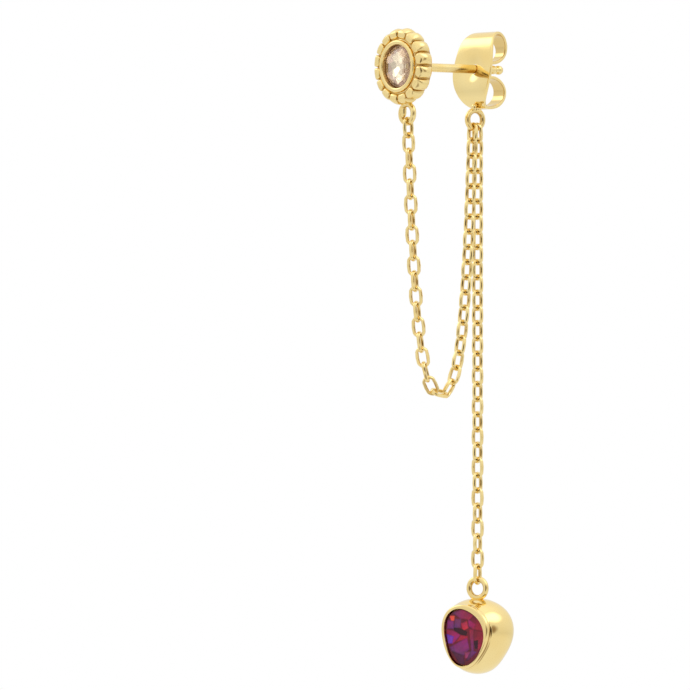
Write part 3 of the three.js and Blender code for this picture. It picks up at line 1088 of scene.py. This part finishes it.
        # Cuts across the post so that the painted shade on its underside has points to run along.
        start, end = POST_SHADE
        for span in range(POST_SPANS):
            edit_whole(post)
            depth = start + (end - start) * span / (POST_SPANS - 1)
            bpy.ops.mesh.bisect(plane_co=(0, depth, 0), plane_no=(0, 1, 0), threshold=ON_PLANE)
            leave_edit()
        # Painted shade and painted reflection on the post's underside.
        paint_shade(post, lambda point: self.post_shade(point.co, radius))
        return post

    def post_shade(self, place, radius):
        """Paints shade and the clutch's brown reflection onto the post's underside, up to where the clutch
        hides it.
        """
        start, end = POST_SHADE
        if place.y > end + NEAR:
            return 0.0
        return eased(place.y, start, end) * eased(-place.z / radius, *POST_UNDER)


class EARRING_OT_stud_crystal(Operator):
    """Cuts the crystal facet by facet"""

    bl_idname = "earring.stud_crystal"
    bl_label = "Stud Crystal"

    def execute(self, context):
        sizes = context.scene.earring_stud
        radius = bench(sizes.bezel_radius - sizes.bezel_wall) - CRYSTAL["gap"]
        front, back = CRYSTAL["table"], CRYSTAL["point"]
        clear_selection()
        bpy.ops.mesh.primitive_cylinder_add(
            vertices=64,
            radius=radius,
            depth=back - front,
            location=(0, (front + back) / 2, 0),
            rotation=(QUARTER_TURN, 0, 0),
        )
        piece = set_down(named("stud_crystal_cut"))
        self.cut(piece, CROWN, radius, facing=-1.0)
        self.cut(piece, PAVILION, radius, facing=1.0)
        placed(piece)
        settle(piece, STUD_BODY, ["stud_crystal"], [crystal_glass(), crystal_foil()])
        self.foil(piece, radius * MM)
        return {"FINISHED"}

    def foil(self, piece, radius):
        """Foils the back facets, each with its own painted sparkle, and greyer out to the girdle with
        painted shade.
        """
        tones = piece.data.color_attributes.new("foil_tone", "FLOAT_COLOR", "CORNER")
        bright = Vector(bpy.context.scene.earring_finishes.foil)
        rim = Vector(bpy.context.scene.earring_finishes.foil_shaded_rim)
        for face in piece.data.polygons:
            face.material_index = 1 if face.normal.y > FOIL["facing"] else 0
            # Painted shade greys the foil towards the girdle, and a painted sparkle makes each facet
            # brighter or duller.
            out = (math.hypot(face.center.x, face.center.z) / radius - FOIL["rim"]) / FOIL["width"]
            sparkle = FOIL["dimmed"] + (1 - FOIL["dimmed"]) * (math.sin(face.index * FOIL["step"]) + 1) / 2
            tone = bright.lerp(rim, max(0.0, min(1.0, out))) * sparkle
            for corner in face.loop_indices:
                tones.data[corner].color = (*tone, 1.0)

    def cut(self, piece, rows, radius, facing):
        """Cuts rows of flat facets round the Y axis, towards the front or the back."""
        edit_whole(piece)
        for row in rows:
            slope = math.radians(row["slope"])
            for number in range(row["count"]):
                turn = FULL_TURN * (number + row["shift"]) / row["count"]
                way = Vector((math.cos(turn), 0, math.sin(turn)))
                normal = way * math.sin(slope) + Vector((0, facing, 0)) * math.cos(slope)
                bpy.ops.mesh.select_all(action="SELECT")
                bpy.ops.mesh.bisect(
                    plane_co=way * radius * row["share"] + Vector((0, row["y"], 0)),
                    plane_no=normal,
                    use_fill=True,
                    clear_outer=True,
                    threshold=ON_PLANE,
                )
        leave_edit()


# ---- Clutch ----


class EARRING_OT_clutch(Operator):
    """Models the butterfly clutch from one strip, with its hole and its soldered ring"""

    bl_idname = "earring.clutch"
    bl_label = "Clutch"

    def execute(self, context):
        sizes = context.scene.earring_clutch
        strip = self.strip(bench(sizes.thickness))
        clear_selection()
        bpy.ops.mesh.primitive_cylinder_add(
            vertices=64,
            radius=bench(sizes.hole_radius),
            depth=DRILL["depth"],
            location=(0, DRILL["y"], 0),
            rotation=(QUARTER_TURN, 0, 0),
        )
        fused(strip, named("clutch_drill"), "DIFFERENCE")
        ring = ring_piece("clutch_ring", CLUTCH_RING, bench(context.scene.earring_stud.ring_wire))
        drops = [solder_piece("clutch_solder"), solder_piece("clutch_solder_flow")]
        piece = joined("clutch_metal", [strip, ring, *drops])
        placed(piece)
        shade(piece, angle=32.0)
        settle(piece, STUD_BODY, ["clutch"], [plating("Polished gold")])
        return {"FINISHED"}

    def strip(self, thickness):
        """Drawn row by row along its middle line, then given its thickness."""
        places = catmull_rom([Vector((row["half"], row["y"], row["z"])) for row in STRIP], STRIP_STEPS)
        clear_selection()
        bpy.ops.mesh.primitive_grid_add(x_subdivisions=STRIP_CUTS, y_subdivisions=1, size=2)
        piece = named("clutch_strip")
        edit_whole(piece)
        pick("verts", lambda point: point.co.y > 0)
        bpy.ops.mesh.delete(type="VERT")
        bpy.ops.mesh.select_all(action="SELECT")
        half, y, z = places[0]
        bpy.ops.transform.resize(value=(half, 1, 1), center_override=(0, 0, 0))
        bpy.ops.transform.translate(value=(0, y + 1, z))
        for place, after in zip(places, places[1:]):
            move = (0, after.y - place.y, after.z - place.z)
            bpy.ops.mesh.extrude_edges_move(TRANSFORM_OT_translate={"value": move})
            share = after.x / place.x
            bpy.ops.transform.resize(value=(share, 1, 1), center_override=(0, after.y, after.z))
        leave_edit()
        self.round_corners(piece, places)
        self.dimple(piece)
        modifier = piece.modifiers.new("Wall", "SOLIDIFY")
        modifier.thickness = thickness
        modifier.offset = 0
        finish_modifiers(piece)
        rounded_edges(piece, STRIP_EDGE, segments=2, angle=60.0)
        smoothed(piece, levels=1)
        closed_up(piece)
        # Painted shade inside the scrolls.
        paint_shade(piece, self.scroll_shade)
        return piece

    def scroll_shade(self, point):
        """Paints shade on the insides of the two scrolls."""
        for eye in SCROLL_EYES:
            run = Vector((0, eye["y"] - point.co.y, eye["z"] - point.co.z))
            facing = point.normal.dot(run.normalized())
            if run.length < SCROLL_SHADE["reach"] and facing > SCROLL_SHADE["facing"]:
                return SCROLL_SHADE["dimmed"]
        return 0.0

    def round_corners(self, piece, places):
        """Rounds off the two ends of the strip."""
        for end, inner in ((places[0], places[1]), (places[-1], places[-2])):
            run = Vector((0, end.y - inner.y, end.z - inner.z)).normalized()
            for point in piece.data.vertices:
                if math.hypot(point.co.y - end.y, point.co.z - end.z) < NEAR:
                    point.co -= run * STRIP_CORNER * (abs(point.co.x) / end.x) ** 3

    def dimple(self, piece):
        """Presses the plate in round the hole."""
        for point in piece.data.vertices:
            away = math.hypot(point.co.x, point.co.z) / DIMPLE["radius"]
            if point.co.y < DIMPLE["behind"]:
                point.co.y += DIMPLE["depth"] * eased(1 - away, 0.0, 1.0)


# ---- Chains ----


def twist_at(table, link):
    """The twist of a chain at a link, in degrees."""
    for row, after in zip(table, table[1:]):
        if link <= after["link"]:
            share = (link - row["link"]) / (after["link"] - row["link"])
            return row["turn"] + (after["turn"] - row["turn"]) * share
    return table[-1]["turn"]


def hanging_joints(start, end, links, pitch):
    """Where the links of a hanging chain meet: the slope grows evenly from link to link."""
    span = math.hypot(end.x - start.x, end.y - start.y)
    rise = end.z - start.z
    growth, level = 1.0, (links + 1) / 2
    slopes = []
    for _ in range(SETTLING_ROUNDS):
        slopes = [math.atan(growth * (number + 1 - level)) for number in range(links)]
        across = sum(pitch * math.cos(slope) for slope in slopes)
        up = sum(pitch * math.sin(slope) for slope in slopes)
        growth *= across / span
        level += (up - rise) / (2 * pitch)
    flat = Vector((end.x - start.x, end.y - start.y, 0)).normalized()
    joints = [start]
    for slope in slopes:
        step = flat * math.cos(slope) + Vector((0, 0, math.sin(slope)))
        joints.append(joints[-1] + step * pitch)
    return joints


def rest_height(ring, aside, wire):
    """The height at which a link hangs on a ring's wire."""
    radius = (ring["outer"] - wire) / 2
    return ring["z"] - math.sqrt(radius**2 - aside**2) + wire / 2


def clutch_hook(chain, wire):
    """Where a chain hangs on the clutch's ring."""
    aside = chain["hook_y"] - CLUTCH_RING["y"]
    x = aside / math.tan(math.radians(CLUTCH_RING["turn"]))
    return Vector((x, chain["hook_y"], rest_height(CLUTCH_RING, aside, wire)))


def below_hook(hook, chain, pitch):
    """One link's length below a hook, over the place where the chain hangs."""
    x, y = chain["x"], chain["y"]
    drop = math.sqrt(pitch**2 - (x - hook.x) ** 2 - (y - hook.y) ** 2)
    return Vector((x, y, hook.z - drop))


def link_place(start, end, turn):
    """The place and turn of a link between two joints."""
    run = (end - start).normalized()
    side = (Vector((1, 0, 0)) - run * run.x).normalized()
    fore = side.cross(run)
    width = side * math.cos(turn) + fore * math.sin(turn)
    up = -run
    across = width.cross(up)
    place = Matrix((width, up, across)).transposed().to_4x4()
    place.translation = (start + end) / 2
    return place


class EARRING_OT_chains(Operator):
    """Models one link and hangs it in both chains"""

    bl_idname = "earring.chains"
    bl_label = "Chains"

    def execute(self, context):
        sizes = context.scene.earring_chain
        wire = bench(context.scene.earring_stud.ring_wire)
        pitch = bench(sizes.pitch)
        link = self.link(sizes)
        aside = FRONT_CHAIN["start_x"]
        start = Vector((aside, STUD_RING["y"], rest_height(STUD_RING, aside, wire)))
        hook = clutch_hook(FRONT_CHAIN, wire)
        end = below_hook(hook, FRONT_CHAIN, pitch)
        joints = [*hanging_joints(start, end, FRONT_CHAIN["links"] - 1, pitch), hook]
        self.hang(link, "front_chain", joints, FRONT_TWIST, FRONT_CHAIN["stretch"])
        hook = clutch_hook(DROP_CHAIN, wire)
        top = below_hook(hook, DROP_CHAIN, pitch)
        down = Vector((0, 0, -pitch))
        joints = [hook, *(top + down * number for number in range(DROP_CHAIN["links"]))]
        self.hang(link, "drop_chain", joints, DROP_TWIST, DROP_CHAIN["stretch"])
        bpy.data.objects.remove(link, do_unlink=True)
        return {"FINISHED"}

    def link(self, sizes):
        """An oval link, rolled a little flat on its faces and filed flat along its sides."""
        width, wire = bench(sizes.width), bench(sizes.wire)
        middle = (width - wire) / 2
        reach = bench(sizes.pitch) / 2 - (middle - wire / 2) + LINK["slack"]
        clear_selection()
        bpy.ops.mesh.primitive_torus_add(
            major_segments=24, minor_segments=12, major_radius=middle, minor_radius=wire / 2
        )
        piece = named("chain_link")
        edit_whole(piece)
        near = wire / 4
        pick("verts", lambda point: point.co.y > near)
        bpy.ops.transform.translate(value=(0, reach, 0))
        pick("verts", lambda point: point.co.y < -near)
        bpy.ops.transform.translate(value=(0, -reach, 0))
        bpy.ops.mesh.select_all(action="SELECT")
        stretch = bench(sizes.across) / wire
        bpy.ops.transform.resize(value=(1, 1, stretch), center_override=(0, 0, 0))
        leave_edit()
        flat = bench(sizes.across) * LINK["face"]
        side = width / 2 - wire * LINK["side"]
        tall = middle + reach
        for point in piece.data.vertices:
            point.co.z = max(-flat, min(flat, point.co.z))
            point.co.x = max(-side, min(side, point.co.x))
            point.co.x *= 1 + LINK["oval"] * (1 - 2 * (point.co.y / tall) ** 2)
        # Painted shade on the inner side of the link's wire.
        paint_shade(piece, lambda point: inwards(point, middle, tall) / wire * middle * LINK["shaded"])
        return piece

    def hang(self, link, name, joints, twist, stretch):
        """Hangs copies of the link between the joints, a few in each piece."""
        gold = plating("Chain gold")
        count = (len(joints) - 1) // stretch
        for number in range(count):
            first = 1 + number * stretch
            last = len(joints) if number == count - 1 else first + stretch
            copies = []
            for place in range(first, last):
                turn = math.radians(twist_at(twist, place)) + QUARTER_TURN * (place - 1)
                copy = copied(link)
                copy.data.transform(link_place(joints[place - 1], joints[place], turn))
                copies.append(copy)
            piece = joined(f"{name}_links_{number + 1}", copies)
            placed(piece)
            shade(piece, angle=28.0)
            settle(piece, STUD_BODY, [f"{name}_{number + 1}"], [gold])


# ---- Pendant ----


def raised(piece, height):
    """Moves a bench piece up or down, in its mesh."""
    return set_down(piece, Matrix.Translation((0, 0, height)))


def pendant_place(wire):
    """Where the pendant's ring is, from the joint that it swings on."""
    hinge = Vector(SWING["pos_m"])
    axis = Vector(SWING["axis"])
    drop = (PENDANT_RING["outer"] - wire) / 2 * MM
    turn = math.atan2(axis.y, axis.x) - math.radians(PENDANT_RING["turn"])
    return Matrix.Translation(hinge - Vector((0, 0, drop))) @ Matrix.Rotation(turn, 4, "Z")


class EARRING_OT_pendant_setting(Operator):
    """Models the pebble setting with its rim and its ring"""

    bl_idname = "earring.pendant_setting"
    bl_label = "Pendant Setting"

    def execute(self, context):
        sizes = context.scene.earring_pendant
        wire = bench(context.scene.earring_stud.ring_wire)
        radius = bench(sizes.pebble_radius)
        knots = [Vector((row["share"] * radius, row["y"], 0)) for row in reversed(PEBBLE_WALL)]
        rows = [(max(0.0, place.x), place.y) for place in catmull_rom(knots, PEBBLE_STEPS)]
        pebble = turned("pendant_pebble", [(0.0, PENDANT_RIM), *rows], PEBBLE_ROUND)
        press(pebble, PEBBLE)
        self.rim_line(pebble)
        self.foot(pebble, radius)
        raised(pebble, PENDANT_MIDDLE_Z)
        gap = bench(sizes.stone_gap)
        seat_radius = bench(sizes.stone_radius) + gap
        open_end, back = PENDANT_RIM - SEAT_CLEAR, PENDANT_RIM + STONE_SUNK + STONE_THICK + gap
        rows = [(0.0, open_end), (seat_radius, open_end), (seat_radius, back), (0.0, back)]
        seat = turned("pendant_seat", rows, SEAT_ROUND)
        press(seat, STONE)
        raised(seat, PENDANT_MIDDLE_Z - STONE_DOWN)
        fused(pebble, seat, "DIFFERENCE")
        rounded_edges(pebble, PENDANT_EDGE, segments=3, angle=50.0)
        ring = ring_piece("pendant_ring", PENDANT_RING, wire)
        solder = solder_piece("pendant_solder")
        piece = joined("pendant_setting_metal", [pebble, ring, solder])
        placed(piece, pendant_place(wire))
        shade(piece, angle=35.0)
        settle(piece, PENDANT_BODY, ["pendant_setting"], [plating("Polished gold")])
        return {"FINISHED"}

    def rim_line(self, pebble):
        """Draws in the line that sets the rim off from the body, on its right and below."""
        for point in pebble.data.vertices:
            reach, across = self.line_at(point.co)
            if across < 1:
                out = math.hypot(point.co.x, point.co.z)
                share = 1 - RIM_LINE["depth"] * reach * (1 - across**2) ** 2 / out
                point.co.x *= share
                point.co.z *= share
        # Painted shade in the line behind the rim.
        paint_shade(pebble, self.line_shade)

    def line_at(self, place):
        """How deep the rim's line is at a place, and how far that is off the line's middle."""
        angle = math.degrees(math.atan2(place.z, place.x))
        reach = eased(angle, *RIM_LINE["deepen"]) * (1 - eased(angle, *RIM_LINE["fade"]))
        return reach, abs(place.y - RIM_LINE["y"]) / RIM_LINE["half"]

    def line_shade(self, point):
        """How much painted shade darkens the rim's line at a point."""
        reach, across = self.line_at(point.co)
        return reach * (RIM_SHADE["most"] - RIM_SHADE["fall"] * across)

    def foot(self, pebble, radius):
        """Fills the pebble out at its foot."""
        for point in pebble.data.vertices:
            down = eased(-point.co.z / radius, PEBBLE_FOOT["from"], 1.0)
            point.co.z -= radius * PEBBLE_FOOT["drop"] * down


def inside_outline(spot, corners):
    """Whether a spot lies inside a flat outline."""
    inside = False
    for corner, after in zip(corners, (*corners[1:], corners[0])):
        if (corner.y > spot.y) != (after.y > spot.y):
            share = (spot.y - corner.y) / (after.y - corner.y)
            if spot.x < corner.x + (after.x - corner.x) * share:
                inside = not inside
    return inside


def edge_distance(spot, corners):
    """How far a spot is from the nearest side of a flat outline."""
    nearest = []
    for corner, after in zip(corners, (*corners[1:], corners[0])):
        run = after - corner
        share = max(0.0, min(1.0, (spot - corner).dot(run) / run.length_squared))
        nearest.append((corner + run * share - spot).length)
    return min(nearest)


class EARRING_OT_pendant_stone(Operator):
    """Models the flat stone and tones its face as shards of dyed shell"""

    bl_idname = "earring.pendant_stone"
    bl_label = "Pendant Stone"

    def execute(self, context):
        sizes = context.scene.earring_pendant
        radius = bench(sizes.stone_radius)
        front = PENDANT_RIM + STONE_SUNK
        flat, back = radius - STONE_EDGE, front + STONE_THICK
        rings = round(flat / STONE_GRAIN)
        rows = [(flat * ring / rings, front) for ring in range(rings + 1)]
        rows += [(radius, front + STONE_EDGE), (radius, back), (0.0, back)]
        piece = turned("pendant_stone_mosaic", rows, STONE_ROUND)
        press(piece, STONE)
        self.shards(piece, radius)
        raised(piece, PENDANT_MIDDLE_Z - STONE_DOWN)
        placed(piece, pendant_place(bench(context.scene.earring_stud.ring_wire)))
        shade(piece, angle=30.0)
        settle(piece, PENDANT_BODY, ["pendant_stone"], [shell_mosaic()])
        return {"FINISHED"}

    def shards(self, piece, radius):
        """Tones each point of the stone after the topmost shard laid there."""
        shards = []
        for first, last, corners in SHARDS:
            spots = [Vector(corner) * radius for corner in corners]
            shards.append((Vector(SHARD_TONES[first]), Vector(SHARD_TONES[last]), spots))
        front = min(point.co.y for point in piece.data.vertices)
        tones = piece.data.color_attributes.new("shard_tone", "FLOAT_COLOR", "POINT")
        for point, mark in zip(piece.data.vertices, tones.data):
            tone = Vector(SHARD_TONES[SHARD_BED])
            spot = Vector((point.co.x, point.co.z))
            for first, last, spots in shards:
                if point.co.y > front + NEAR or not inside_outline(spot, spots):
                    continue
                run = spots[len(spots) // 2] - spots[0]
                share = max(0.0, min(1.0, (spot - spots[0]).dot(run) / run.length_squared))
                inner = min(1.0, edge_distance(spot, spots) / (SHARD_SEAM["reach"] * radius))
                tone = first.lerp(last, share) * (SHARD_SEAM["tone"] + (1 - SHARD_SEAM["tone"]) * inner)
            mark.color = (*tone, 1.0)


# ---- Stage ----


class EARRING_OT_stage(Operator):
    """Sets the camera, the soft light and the pale floor"""

    bl_idname = "earring.stage"
    bl_label = "Stage"

    def execute(self, context):
        stage = context.scene.earring_stage
        context.scene.view_settings.view_transform = "Standard"
        right = Vector((math.cos(stage.azimuth), math.sin(stage.azimuth), 0))
        up = Vector((0, 0, 1))
        back = Vector((math.sin(stage.azimuth), -math.cos(stage.azimuth), 0))
        axes = Matrix((right, up, back)).transposed()
        target = right * stage.aside + up * stage.height
        self.camera(stage, target, back)
        self.lights(target, axes)
        self.world(axes)
        self.floor(stage, target)
        return {"FINISHED"}

    def camera(self, stage, target, back):
        data = bpy.data.cameras.new("Camera")
        data.lens = stage.lens
        data.clip_start = 0.01
        data.clip_end = 20.0
        camera = bpy.data.objects.new("Camera", data)
        bpy.context.scene.collection.objects.link(camera)
        camera.location = target + back * stage.distance
        camera.rotation_euler = back.to_track_quat("Z", "Y").to_euler()
        bpy.context.scene.camera = camera

    def lights(self, target, axes):
        """Soft boxes: a large one overhead, one at the left and one high at the right."""
        for box in BOXES:
            data = bpy.data.lights.new(box["name"], "AREA")
            data.shape = "SQUARE"
            data.size = box["size"]
            data.energy = box["power"]
            light = bpy.data.objects.new(box["name"], data)
            bpy.context.scene.collection.objects.link(light)
            way = (axes @ Vector(box["way"])).normalized()
            light.location = target + way * BOX_DISTANCE
            light.rotation_euler = way.to_track_quat("Z", "Y").to_euler()
            light.visible_camera = False
            light.visible_glossy = False

    def world(self, axes):
        """A white tent: brighter overhead, with bright panels, dark gaps and the camera's opening."""
        world = bpy.data.worlds.new("White tent")
        bpy.context.scene.world = world
        world.use_nodes = True
        tree = world.node_tree
        shown = tree.nodes["Background"]
        shown.inputs["Color"].default_value = WHITE
        ways = add_node(tree, "ShaderNodeTexCoord").outputs["Generated"]
        parts = add_node(tree, "ShaderNodeSeparateXYZ", {"Vector": ways})
        rise = add_node(tree, "ShaderNodeMapRange", {"Value": parts.outputs["Z"], "From Min": -1.0})
        ramp = add_node(tree, "ShaderNodeValToRGB", {"Fac": rise.outputs["Result"]})
        stops = ramp.color_ramp.elements
        stops[0].position, stops[1].position = TENT[0]["rise"], TENT[-1]["rise"]
        for row in TENT[1:-1]:
            stops.new(row["rise"])
        for stop, row in zip(stops, TENT):
            stop.color = (row["tone"], row["tone"], row["tone"], 1.0)
        level = ramp.outputs["Color"]
        for panel in PANELS:
            way = (axes @ Vector(panel["way"])).normalized()
            toward = add_node(tree, "ShaderNodeVectorMath", {0: ways, 1: way}, operation="DOT_PRODUCT")
            feeds = {
                "Value": toward.outputs["Value"],
                "From Min": math.cos(math.radians(panel["reach"])),
                "From Max": math.cos(math.radians(panel["core"])),
                "To Max": panel["gain"],
            }
            glow = add_node(tree, "ShaderNodeMapRange", feeds, interpolation_type="SMOOTHSTEP")
            feeds = {0: level, 1: glow.outputs["Result"]}
            level = add_node(tree, "ShaderNodeMath", feeds, operation="ADD").outputs["Value"]
        kept = add_node(tree, "ShaderNodeMath", {0: level, 1: ROOM["dark"]}, operation="MAXIMUM")
        feeds = {"Value": kept.outputs["Value"], "From Min": ROOM["dark"], "From Max": ROOM["plain"]}
        plain = add_node(tree, "ShaderNodeMapRange", feeds, interpolation_type="SMOOTHSTEP")
        feeds = {"Factor": plain.outputs["Result"], "A": (*ROOM["tint"], 1.0), "B": WHITE}
        tint = add_node(tree, "ShaderNodeMix", feeds, data_type="RGBA")
        feeds = {"Color": tint.outputs["Result"], "Strength": kept.outputs["Value"]}
        tent = add_node(tree, "ShaderNodeBackground", feeds)
        seen = add_node(tree, "ShaderNodeLightPath").outputs["Is Camera Ray"]
        feeds = {"Fac": seen, 1: tent.outputs["Background"], 2: shown.outputs["Background"]}
        mix = add_node(tree, "ShaderNodeMixShader", feeds)
        feed(tree, tree.nodes["World Output"], {"Surface": mix.outputs["Shader"]})

    def floor(self, stage, target):
        """A round pale floor that is seen only from above."""
        low = CAD_BOX[0][2] - stage.floor_drop
        clear_selection()
        bpy.ops.mesh.primitive_circle_add(
            vertices=96, radius=FLOOR_RADIUS, fill_type="NGON", location=(target.x, target.y, low)
        )
        floor = set_down(named("Floor"))
        material, tree, shader = new_tree("Pale floor")
        feed(tree, shader, {"Base Color": (0.86, 0.86, 0.85, 1.0), "Roughness": 0.7})
        clear = add_node(tree, "ShaderNodeBsdfTransparent")
        side = add_node(tree, "ShaderNodeNewGeometry").outputs["Backfacing"]
        feeds = {"Fac": side, 1: shader.outputs["BSDF"], 2: clear.outputs["BSDF"]}
        mix = add_node(tree, "ShaderNodeMixShader", feeds)
        feed(tree, tree.nodes["Material Output"], {"Surface": mix.outputs["Shader"]})
        floor.data.materials.append(material)
        floor.visible_glossy = False


# ---- Panel and start ----

STEPS = (
    EARRING_OT_stage,
    EARRING_OT_stud_setting,
    EARRING_OT_stud_crystal,
    EARRING_OT_clutch,
    EARRING_OT_chains,
    EARRING_OT_pendant_setting,
    EARRING_OT_pendant_stone,
)

GROUPS = {
    "earring_stud": StudSizes,
    "earring_clutch": ClutchSizes,
    "earring_chain": ChainSizes,
    "earring_pendant": PendantSizes,
    "earring_finishes": Finishes,
    "earring_stage": StageSizes,
}


class EARRING_PT_panel(Panel):
    """Lists the steps that model the earring"""

    bl_idname = "EARRING_PT_panel"
    bl_label = "Chain Stud Earring"
    bl_space_type = "VIEW_3D"
    bl_region_type = "UI"
    bl_category = "Earring"

    def draw(self, context):
        for step in STEPS:
            self.layout.operator(step.bl_idname)


def register():
    for group in GROUPS.values():
        bpy.utils.register_class(group)
    for name, group in GROUPS.items():
        setattr(bpy.types.Scene, name, PointerProperty(type=group))
    for step in STEPS:
        bpy.utils.register_class(step)
    bpy.utils.register_class(EARRING_PT_panel)


def unregister():
    bpy.utils.unregister_class(EARRING_PT_panel)
    for step in reversed(STEPS):
        bpy.utils.unregister_class(step)
    for name in GROUPS:
        delattr(bpy.types.Scene, name)
    for group in GROUPS.values():
        bpy.utils.unregister_class(group)


def main():
    register()
    bpy.ops.earring.stage()
    bpy.ops.earring.stud_setting()
    bpy.ops.earring.stud_crystal()
    bpy.ops.earring.clutch()
    bpy.ops.earring.chains()
    bpy.ops.earring.pendant_setting()
    bpy.ops.earring.pendant_stone()
    clear_selection()


if __name__ == "__main__":
    main()
